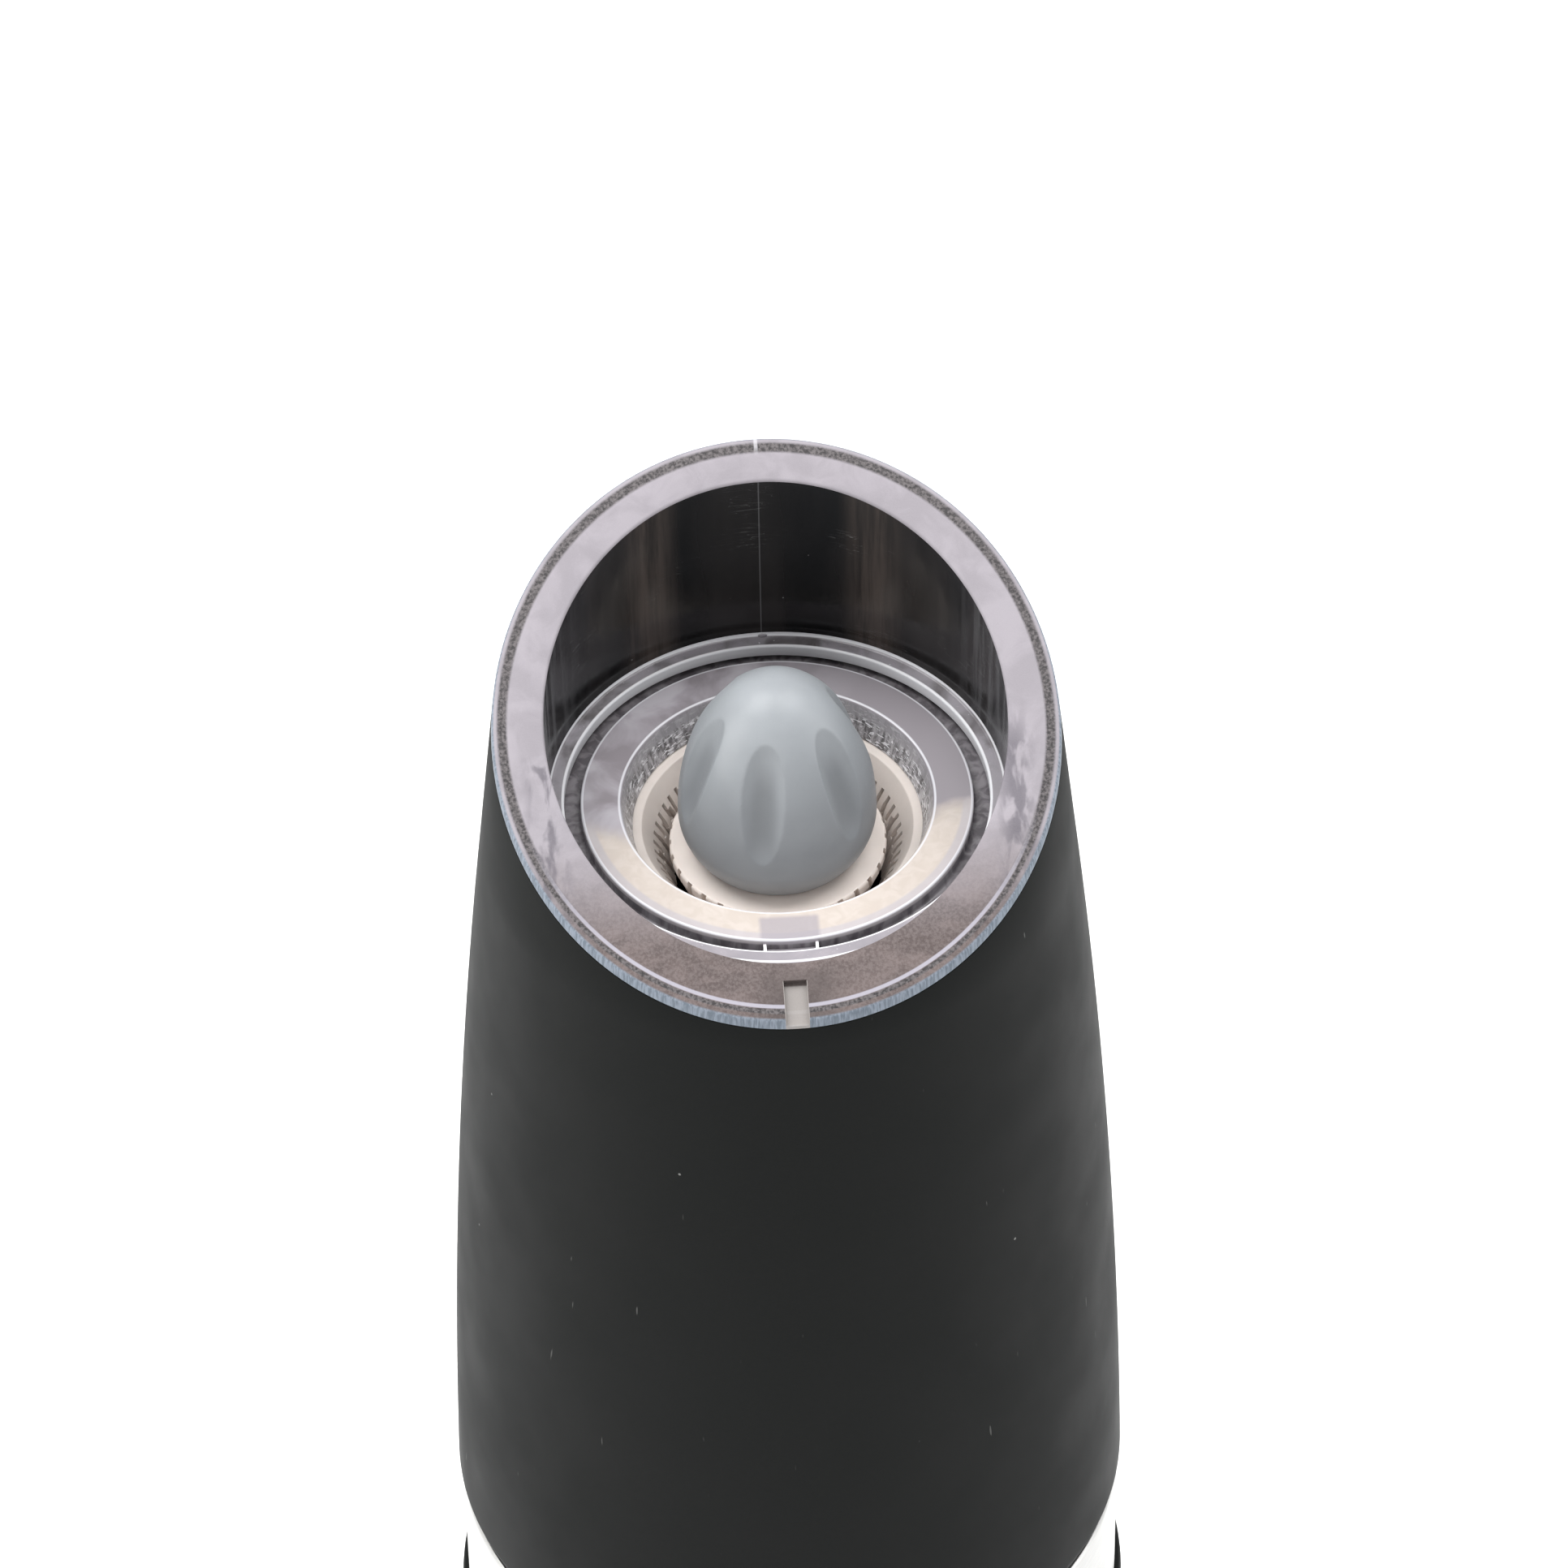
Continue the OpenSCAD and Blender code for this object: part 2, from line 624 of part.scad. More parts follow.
module upper_shell() {
    color(shell_black) difference() {
        union() {
            difference() {
                upper_form();
                disc(bore_r, seam_z - 1, shoulder_z);
                upper_hollow();
            }
            around(3, 150) intersection() {
                translate([25.4, 0, shoulder_z + 0.5]) cylinder(r = 2.3, h = 8);
                ring(chamber_out_r + 0.1, 27.4, shoulder_z, shoulder_z + 9);
            }
        }
        above_mouth(rim_thick);
        box(key_w + 0.4, -27.8, -bore_r + 1.5, seam_z - 1, shoulder_z - 0.5);
        around(3, 150) translate([chamber_screw_r, 0, shoulder_z - 1]) cylinder(r = 0.8, h = 7);
    }
}

chamber_screw_r = 25.1;
key_notch_w = 2;
module clear_collar() {
    color(clear_tint) difference() {
        union() {
            difference() {
                upper_form();
                disc(far, 0, ledge_z - 8);
                difference() {
                    disc(far, 0, mill_height + 8);
                    above_mouth(rim_thick);
                }
            }
            difference() {
                disc(collar_tube_r, ledge_z - 1.2, mill_height + 2);
                above_mouth(rim_thick / 2);
            }
        }
        above_mouth();
        translate([0, 0, ledge_z]) cylinder(r1 = opening_r - 0.2, r2 = opening_r + 0.3, h = 24);
        disc(moat_out_r, ledge_z - 4, ledge_z + 1);
        translate([0, 0, rim_z]) rotate([mouth_slope, 0, 0]) box(key_notch_w, -32, -24.2, -0.6, 2);
    }
}

module burr_holder() {
    color(clear_tint) difference() {
        union() {
            disc(ring_out_r, bridge_z + bridge_h, ring_top_z);
            ring(ring_out_r - 1, 20.9, moat_z - 1.2, moat_z);
        }
        disc(ring_in_r, bridge_z, ring_top_z + 1);
        disc(burr_seat_r, bridge_z, burr_top_z);
        box(lamp_w, -25, -14.3, lamp_z, housing_top_z);
    }
}

module shaft_bridge() {
    top = bridge_z + bridge_h;
    color(inner_black) difference() {
        union() {
            ring(13.4, ring_out_r, bridge_z, top);
            disc(4.6, bridge_z, top);
            around(3, 30) box(2.6, 3, 14, bridge_z, top);
        }
        disc(journal_r + run_gap, bridge_z - 1, top + 1);
    }
}

module spice_chamber() {
    top = moat_z - 1.2;
    color([0.30, 0.30, 0.31, 0.75]) difference() {
        rotate_extrude() polygon([[chamber_r, mouth_z], [chamber_out_r + 3.4, mouth_z],
            [chamber_out_r + 3.4, shoulder_z], [chamber_out_r, shoulder_z], [chamber_out_r, bridge_z - 9],
            [neck_out_r, bridge_z - 2], [neck_out_r, top], [ring_out_r + 0.05, top], [ring_out_r + 0.05, bridge_z],
            [15.6, bridge_z], [15.6, bridge_z - 1.2], [chamber_r, bridge_z - 9]]);
        around(3, 150) translate([chamber_screw_r, 0, mouth_z - 1]) cylinder(r = 1.1, h = 5);
        box(lamp_w + 0.1, -25, -14, lamp_z - 0.5, top + 1);
        for (side = [-1, 1]) translate([side * contact_x, -contact_y, mouth_z - 1]) cylinder(r = 0.7, h = 5);
    }
}

module chamber_screws() {
    color(zinc) around(3, 150) screw(chamber_screw_r, 0, mouth_z, 1.6, 0.8, 0.75, 6, up = true);
}

lamp_w = 4.9;
lamp_y = 16.2;
lamp_r = 1.5;
lamp_z = ledge_z - 14;
module lamp() {
    base = housing_top_z - 6.6;
    color([0.95, 0.95, 0.90, 0.8]) translate([0, -lamp_y, 0]) union() {
        translate([0, 0, base]) cylinder(r = lamp_r + 0.15, h = 0.8);
        translate([0, 0, base]) cylinder(r = lamp_r, h = 4.8);
        translate([0, 0, base + 4.8]) sphere(r = lamp_r);
        for (side = [-1, 1]) translate([side * 0.8, 0, base - 3.5]) cylinder(r = 0.25, h = 3.6, $fn = 16);
    }
}

module lamp_housing() {
    color(clear_tint) difference() {
        box(lamp_w - 0.06, -18.3, -14.33, lamp_z, housing_top_z - 0.02);
        translate([0, -lamp_y, lamp_z - 1]) cylinder(r = lamp_r + 0.2, h = housing_top_z - 5.7 - lamp_z + 1);
        box(3.4, -20, -lamp_y, lamp_z - 1, lamp_z + 1.8);
        translate([0, -lamp_y, lamp_z]) cylinder(r = lamp_r + 0.03, h = housing_top_z - 1.75 - lamp_z);
        translate([0, -lamp_y, housing_top_z - 1.8]) sphere(r = lamp_r + 0.03);
    }
}

module lamp_wires() {
    color([0.92, 0.92, 0.90]) for (side = [-1, 1]) tube_along([[side * 0.8, -lamp_y, housing_top_z - 10.2],
        [side * 0.85, -lamp_y, lamp_z + 1.9], [side * 0.95, -lamp_y - 0.7, lamp_z + 1],
        [side * 1.1, -18.4, lamp_z + 0.7], [side * 1.4, -19.6, lamp_z - 0.5], [side * 1.8, -20, bridge_z + 1.5],
        [side * 2.4, -21.4, bridge_z - 3], [side * 3, -23.8, bridge_z - 7],
        [side * 3.2, -24.4, bridge_z - 10], [side * 3.4, -24.4, bridge_z - 16],
        [side * contact_x, -24.3, shoulder_z + 6], [side * contact_x, -contact_y, shoulder_z + 1],
        [side * contact_x, -contact_y, mouth_z + 0.2]], 0.5);
}

module contact_pads() {
    color(brass_gold) for (side = [-1, 1]) translate([side * contact_x, -contact_y, mouth_z - 0.45])
        cylinder(r = 1.4, h = 0.45);
}

module outer_burr() {
    fine_z = disc_top_z - 4;
    color(ceramic_white) difference() {
        disc(burr_seat_r - 0.03, burr_low_z, burr_top_z);
        rotate_extrude() polygon([[0, burr_low_z - 1], [12.7, burr_low_z - 1], [12.7, burr_low_z],
            [8.9, fine_z], [10.1, disc_top_z - 0.9], [11.75, burr_top_z], [11.75, burr_top_z + 1],
            [0, burr_top_z + 1]]);
        around(36) translate([9.5, 0, disc_top_z - 2.4]) rotate([-10, 21, 0]) cube([0.9, 0.55, 4.2], center = true);
        around(36, 4) translate([11, 0, disc_top_z + 0.5]) rotate([0, 32, 0]) cube([1, 0.7, 4], center = true);
        around(10) translate([10.8, 0, burr_low_z + 3]) rotate([14, -26, 0]) cylinder(r = 1.1, h = 9, center = true);
    }
}

// Drive shaft, inner burr and knob -------------------------------------------------------------------

journal_r = 2.9;
core_af = 4.4;
stud_r = 1.95;
core_z = disc_top_z - 6.8;
stud_top_z = knob_z + 12.6;
module drive_shaft() {
    color(steel_grey) union() {
        hexagon(hex_af, socket_floor_z + 0.3, bridge_z - 2);
        disc(4.2, bridge_z - 2.4, bridge_z - 0.3);
        disc(journal_r, bridge_z - 1, bridge_z + bridge_h + 1.1);
        hexagon(core_af, bridge_z + bridge_h + 1, disc_top_z + 0.1);
        disc(stud_r, disc_top_z, stud_top_z);
    }
}

module shaft_clip() {
    z0 = bridge_z + bridge_h + 0.1;
    color(zinc) difference() {
        ring(journal_r, 4, z0, z0 + 0.8);
        box(3, -6, 0, z0 - 1, z0 + 2);
    }
}

spring_z = bridge_z + bridge_h + 0.95;
spring_turns = 4;
module burr_spring() {
    wire_r = 0.28;
    low = spring_z + wire_r;
    rise = core_z - spring_z - 2 * wire_r - 0.02;
    steps = spring_turns * 14;
    color(steel_grey) tube_along([for (i = [0:steps]) [3.42 * cos(360 * spring_turns * i / steps),
        3.42 * sin(360 * spring_turns * i / steps), low + rise * i / steps]], wire_r, 6);
}

module inner_burr() {
    fine_z = disc_top_z - 4;
    low_z = disc_top_z - 10.2;
    color(ceramic_white) difference() {
        rotate_extrude() polygon([[4, low_z], [5.4, low_z], [8.2, fine_z], [9.4, disc_top_z - 0.9],
            [9.4, disc_top_z - 0.3], [9.1, disc_top_z], [4, disc_top_z]]);
        around(32) translate([8.85, 0, disc_top_z - 2.3]) rotate([10, 21, 0]) cube([0.9, 0.55, 5], center = true);
        around(6) translate([7, 0, low_z + 2.4]) rotate([16, 24, 0]) cylinder(r = 1.1, h = 8, center = true);
    }
}

module burr_core() {
    color([0.2, 0.2, 0.2]) difference() {
        disc(4, core_z, disc_top_z);
        hexagon(core_af + 2 * hex_gap, core_z - 1, disc_top_z + 1);
    }
}

// Egg shape: two quarter ellipses of one radius that meet above the base
knob_waist = 3.9;
knob_waist_low = 6.8;
knob_top_h = knob_h - knob_waist;
function egg_r(h) = knob_r * sqrt(1 - pow((h - knob_waist) / (h < knob_waist ? knob_waist_low : knob_top_h), 2));
nut_r = 3.2;
nut_h = 8;
flute_low = 5.1;
flute_high = 16.2;
flute_r = 2.9;
flute_turn = -13;
module coarseness_knob() {
    under = [for (i = [0:5]) let (h = lerp(0.4, knob_waist, i / 5)) [egg_r(h), h]];
    over = [for (i = [1:19]) let (h = knob_waist + knob_top_h * sin(90 * i / 20)) [egg_r(h), h]];
    lean = atan((egg_r(flute_low) - egg_r(flute_high)) / (flute_high - flute_low));
    middle = [(egg_r(flute_low) + egg_r(flute_high)) / 2, 0, (flute_low + flute_high) / 2];
    color(knob_grey) translate([0, 0, knob_z]) difference() {
        rotate_extrude() polygon(concat([[0, 0], [under[0][0] - 0.5, 0]], under, over, [[0, knob_h]]));
        around(knob_flutes, 270 + flute_turn) translate(middle + flute_r * [cos(lean), 0, sin(lean)])
            rotate([0, -lean, 0]) cylinder(r = flute_r, h = 30, center = true);
        translate([0, 0, -1]) cylinder(r = nut_r + 0.02, h = nut_h + 2.2);
        cylinder(r = stud_r + 0.3, h = 15);
    }
}

module knob_nut() {
    color(brass_gold) translate([0, 0, knob_z + 1]) difference() {
        cylinder(r = nut_r, h = nut_h);
        translate([0, 0, -1]) cylinder(r = stud_r + run_gap, h = nut_h + 2);
    }
}

lower_shell();
foot_ring();
motor_frame();
steel_band();
spigot_lid();
spigot_seal();
chamber_seal();
lid_screws();
contact_pins();
pin_wires();
gearbox_base();
gearbox_case();
gearbox_cover();
gearbox_screws();
output_bush();
motor_can();
motor_end_cap();
motor_magnets();
motor_terminals();
motor_wires();
circuit_board();
board_parts();
tilt_switch_can();
tilt_ball();
battery_holder();
battery_cells();
battery_contacts();
holder_screws();
motor_shaft();
motor_armature();
motor_pinion();
first_carrier();
first_planet_1();
first_planet_2();
first_planet_3();
output_carrier();
second_planet_1();
second_planet_2();
second_planet_3();
upper_shell();
clear_collar();
burr_holder();
outer_burr();
spice_chamber();
chamber_screws();
shaft_bridge();
lamp();
lamp_housing();
lamp_wires();
contact_pads();
drive_shaft();
shaft_clip();
burr_spring();
inner_burr();
burr_core();
coarseness_knob();
knob_nut();
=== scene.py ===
from math import atan2, cos, hypot, pi, radians, sin, sqrt, tan

import bmesh
import bpy
from bpy.props import FloatProperty, FloatVectorProperty, IntProperty, PointerProperty
from bpy.types import Operator, Panel, PropertyGroup
from mathutils import Matrix, Vector


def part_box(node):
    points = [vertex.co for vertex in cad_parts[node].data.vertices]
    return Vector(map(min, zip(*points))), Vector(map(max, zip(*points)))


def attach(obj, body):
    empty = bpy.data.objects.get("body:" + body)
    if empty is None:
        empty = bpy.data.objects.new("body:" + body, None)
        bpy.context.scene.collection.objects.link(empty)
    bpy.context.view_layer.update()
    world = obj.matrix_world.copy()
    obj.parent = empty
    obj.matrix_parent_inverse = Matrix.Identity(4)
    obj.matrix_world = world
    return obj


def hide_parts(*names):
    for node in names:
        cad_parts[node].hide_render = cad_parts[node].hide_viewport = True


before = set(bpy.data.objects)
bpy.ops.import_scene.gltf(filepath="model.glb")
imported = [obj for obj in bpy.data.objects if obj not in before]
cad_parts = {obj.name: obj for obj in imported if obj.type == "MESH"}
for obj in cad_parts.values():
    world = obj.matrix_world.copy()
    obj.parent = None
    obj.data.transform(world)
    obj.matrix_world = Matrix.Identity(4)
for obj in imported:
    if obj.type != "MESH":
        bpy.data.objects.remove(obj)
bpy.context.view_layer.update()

bl_info = {
    "name": "Battery Pepper Mill",
    "version": (1, 0, 0),
    "blender": (4, 5, 0),
    "location": "3D View > Sidebar > Mill",
    "description": "Builds the outside of a pepper mill with a slanted clear mouth, and its finishes",
    "category": "Object",
}

MM = 0.001
SHELL_LOW, SHELL_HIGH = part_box("upper_shell")
HOUSING_LOW, HOUSING_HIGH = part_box("lower_shell")
COLLAR_LOW, COLLAR_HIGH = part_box("clear_collar")
BAND_LOW, BAND_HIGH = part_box("steel_band")
HOLDER_LOW, HOLDER_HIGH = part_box("burr_holder")
OUTER_LOW, OUTER_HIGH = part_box("outer_burr")
INNER_LOW, INNER_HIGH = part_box("inner_burr")
KNOB_LOW, KNOB_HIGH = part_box("coarseness_knob")
LAMP_LOW, LAMP_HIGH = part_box("lamp")
CASE_LOW, CASE_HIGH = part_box("lamp_housing")
FOOT_LOW, FOOT_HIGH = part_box("foot_ring")


def linear(r, g, b):
    """A colour given as it looks on a screen, 0 to 255, as the numbers that a shader takes."""
    return tuple((v / 255 / 12.92) if v <= 10 else (((v / 255) + 0.055) / 1.055) ** 2.4 for v in (r, g, b))


# Settings ----------------------------------------------------------------------------------------


class MillSizes(PropertyGroup):
    """Sizes that a user may change."""

    steps: IntProperty(name="Steps around", description="Faces around each turned piece", default=192, min=48)
    slope: FloatProperty(name="Mouth slope", description="Slope of the mouth against the table",
                         default=radians(24), subtype="ANGLE")
    rim_z: FloatProperty(name="Rim middle", description="Height of the rim's middle on the axis",
                         default=189.67 * MM, subtype="DISTANCE", unit="LENGTH")
    rim_thick: FloatProperty(name="Rim thickness", description="Thickness of the clear rim on the shell",
                             default=1 * MM, subtype="DISTANCE", unit="LENGTH")
    opening_r: FloatProperty(name="Opening radius", description="Radius of the clear cup at its floor",
                             default=19.8 * MM, subtype="DISTANCE", unit="LENGTH")
    ledge_z: FloatProperty(name="Ledge height", description="Height of the clear step around the grinder",
                           default=179.77 * MM, subtype="DISTANCE", unit="LENGTH")
    belly_r: FloatProperty(name="Belly radius", description="Radius at the widest place",
                           default=SHELL_HIGH.x, subtype="DISTANCE", unit="LENGTH")
    rim_r: FloatProperty(name="Rim radius", description="Radius of the shell level with the rim's middle",
                         default=24.3 * MM, subtype="DISTANCE", unit="LENGTH")
    base_r: FloatProperty(name="Base radius", description="Radius of the housing near the table",
                          default=26.4 * MM, subtype="DISTANCE", unit="LENGTH")
    knob_r: FloatProperty(name="Knob radius", description="Radius of the coarseness knob",
                          default=8.6 * MM, subtype="DISTANCE", unit="LENGTH")
    knob_flutes: IntProperty(name="Knob flutes", description="Finger flutes around the knob", default=6, min=4)
    edge: FloatProperty(name="Edge rounding", description="Rounding of moulded edges",
                        default=0.22 * MM, subtype="DISTANCE", unit="LENGTH")


class MillColours(PropertyGroup):
    """Colours that a user may change."""

    shell: FloatVectorProperty(name="Shell", description="Soft-touch plastic of the housing and the head",
                               subtype="COLOR", size=3, default=(0.0058, 0.0066, 0.0064))
    rim: FloatVectorProperty(name="Rim", description="Frosted top of the clear collar",
                             subtype="COLOR", size=3, default=linear(146, 141, 147))
    rim_front: FloatVectorProperty(name="Rim front", description="The frosted rim where the dark shell shows",
                                   subtype="COLOR", size=3, default=linear(96, 84, 82))
    ceramic: FloatVectorProperty(name="Ceramic", description="Both burrs",
                                 subtype="COLOR", size=3, default=linear(236, 226, 219))
    knob: FloatVectorProperty(name="Knob", description="Grey coarseness knob",
                              subtype="COLOR", size=3, default=linear(141, 145, 149))
    band: FloatVectorProperty(name="Band", description="Brushed steel band",
                              subtype="COLOR", size=3, default=(0.56, 0.56, 0.55))
    floor: FloatVectorProperty(name="Floor", description="Studio floor",
                               subtype="COLOR", size=3, default=(0.93, 0.93, 0.93))


# Finishes ----------------------------------------------------------------------------------------


class Finish:
    """A node material with one Principled shader, built up from grain, tone changes and wear."""

    def __init__(self, name, colour=(0.5, 0.5, 0.5), roughness=0.5, **sockets):
        self.material = bpy.data.materials.new(name)
        self.material.use_nodes = True
        self.tree = self.material.node_tree
        self.tree.nodes.clear()
        self.skin = self.tree.nodes.new("ShaderNodeBsdfPrincipled")
        out = self.tree.nodes.new("ShaderNodeOutputMaterial")
        self.tree.links.new(self.skin.outputs["BSDF"], out.inputs["Surface"])
        self.place = self.tree.nodes.new("ShaderNodeTexCoord").outputs["Object"]
        self.set("Base Color", (*colour, 1))
        self.set("Roughness", roughness)
        for key, value in sockets.items():
            self.set(key.replace("_", " "), value)
        self.height = None

    def set(self, socket, value):
        """Sets a socket of the shader, or links it when value is another node's output."""
        target = self.skin.inputs[socket]
        if isinstance(value, bpy.types.NodeSocket):
            self.tree.links.new(value, target)
        else:
            target.default_value = value

    def node(self, kind, settings=(), **inputs):
        made = self.tree.nodes.new(kind)
        for key, value in dict(settings).items():
            setattr(made, key, value)
        for key, value in inputs.items():
            socket = made.inputs[int(key[1:])] if key[0] == "i" and key[1:].isdigit() else made.inputs[key]
            if isinstance(value, bpy.types.NodeSocket):
                self.tree.links.new(value, socket)
            elif value is not None:
                socket.default_value = value
        return made

    def math(self, kind, a, b=None, clamp=False):
        return self.node("ShaderNodeMath", {"operation": kind, "use_clamp": clamp}, i0=a, i1=b).outputs[0]

    def axes(self):
        """The three coordinates of the shaded point, in metres."""
        return self.node("ShaderNodeSeparateXYZ", i0=self.place).outputs

    def radius(self):
        x, y, _ = self.axes()
        return self.math("SQRT", self.math("ADD", self.math("MULTIPLY", x, x), self.math("MULTIPLY", y, y)))

    def grain(self, size, stretch=(1, 1, 1), detail=3.0, rough=0.5, warp=0.0, shift=(0, 0, 0)):
        """Noise with lumps about size metres across, each axis made longer by stretch."""
        at = self.node("ShaderNodeMapping", i0=self.place, i1=shift, i3=tuple(1 / size / s for s in stretch))
        noise = self.node("ShaderNodeTexNoise", Vector=at.outputs[0], Scale=1.0, Detail=detail,
                          Roughness=rough, Distortion=warp)
        return noise.outputs["Fac"]

    def fade(self, value, low, high, to_low=0.0, to_high=1.0):
        """A soft step from to_low to to_high as value goes from low to high."""
        made = self.node("ShaderNodeMapRange", {"interpolation_type": "SMOOTHSTEP", "clamp": True},
                         i0=value, i1=low, i2=high, i3=to_low, i4=to_high)
        return made.outputs[0]

    def line(self, value, middle, half, soft):
        """1 where value is within half of middle, fading to 0 over soft."""
        away = self.math("ABSOLUTE", self.math("SUBTRACT", value, middle))
        return self.fade(away, half, half + soft, 1.0, 0.0)

    def mix(self, share, a, b):
        made = self.node("ShaderNodeMix", {"data_type": "RGBA"})
        for socket, value in ((0, share), (6, a), (7, b)):
            if isinstance(value, bpy.types.NodeSocket):
                self.tree.links.new(value, made.inputs[socket])
            else:
                made.inputs[socket].default_value = (*value, 1) if socket else value
        return made.outputs[2]

    def between(self, share, a, b):
        made = self.node("ShaderNodeMix", {"data_type": "FLOAT"}, i0=share, i2=a, i3=b)
        return made.outputs[0]

    def specks(self, spacing, size, share):
        """Rare round specks: 1 on a speck. Only one cell in 1/share holds one."""
        at = self.node("ShaderNodeMapping", i0=self.place, i3=(1 / spacing,) * 3)
        cells = self.node("ShaderNodeTexVoronoi", Vector=at.outputs[0], Scale=1.0)
        near = self.fade(cells.outputs["Distance"], size / spacing * 0.5, size / spacing, 1.0, 0.0)
        pick = self.node("ShaderNodeSeparateColor", i0=cells.outputs["Color"]).outputs[0]
        return self.math("MULTIPLY", near, self.math("GREATER_THAN", pick, 1 - share))

    def bump(self, height, depth):
        """Adds relief that is depth metres deep where height is 1."""
        made = self.node("ShaderNodeBump", i0=1.0, Distance=depth, Height=height)
        if self.height is not None:
            self.tree.links.new(self.height, made.inputs["Normal"])
        self.height = made.outputs[0]
        self.set("Normal", self.height)

    def tones(self, share, dark, light):
        colour = self.mix(share, dark, light)
        self.set("Base Color", colour)
        return colour


def shade(colour, amount):
    return tuple(max(0.0, min(1.0, c * amount)) for c in colour)


def moulded(name, colour, roughness, grain=0.15 * MM, depth=0.004 * MM, spread=0.12, **sockets):
    """Moulded plastic or rubber with a fine spark-eroded grain and cloudy tone."""
    f = Finish(name, colour, roughness, **sockets)
    cloud = f.grain(9 * MM, detail=4)
    f.tones(f.fade(cloud, 0.3, 0.7), shade(colour, 1 - spread), shade(colour, 1 + spread))
    fine = f.grain(grain, detail=2)
    f.set("Roughness", f.fade(cloud, 0.25, 0.75, roughness - 0.05, roughness + 0.05))
    f.bump(fine, depth)
    return f


def turned_metal(name, colour, roughness, stretch=(20, 20, 1), size=0.06 * MM, depth=0.002 * MM, spread=0.12,
                 **sockets):
    """Metal with fine lines left by turning, drawing or brushing."""
    f = Finish(name, colour, roughness, Metallic=1.0, **sockets)
    lines = f.grain(size, stretch=stretch, detail=2)
    cloud = f.grain(6 * MM, detail=3)
    f.tones(f.fade(lines, 0.3, 0.7), shade(colour, 1 - spread), shade(colour, 1 + spread))
    f.set("Roughness", f.fade(cloud, 0.3, 0.7, roughness - 0.07, roughness + 0.07))
    f.bump(lines, depth)
    return f


def soft_touch(colours):
    f = moulded("soft_touch_black", tuple(colours.shell), 0.55, grain=0.09 * MM, depth=0.006 * MM, spread=0.10,
                Specular_IOR_Level=0.09)
    base = f.skin.inputs["Base Color"].links[0].from_socket
    dust = f.specks(5 * MM, 0.16 * MM, 0.5)
    lint = f.grain(0.5 * MM, stretch=(1, 1, 7), detail=1)
    wisp = f.math("MULTIPLY", f.fade(lint, 0.79, 0.83), 0.35)
    marks = f.math("MAXIMUM", dust, wisp)
    f.set("Base Color", f.mix(marks, base, linear(120, 120, 118)))
    return f.material


def brushed_band(colours):
    f = turned_metal("brushed_band", tuple(colours.band), 0.34, stretch=(60, 60, 1), size=0.05 * MM,
                     depth=0.0012 * MM, spread=0.06)
    return f.material


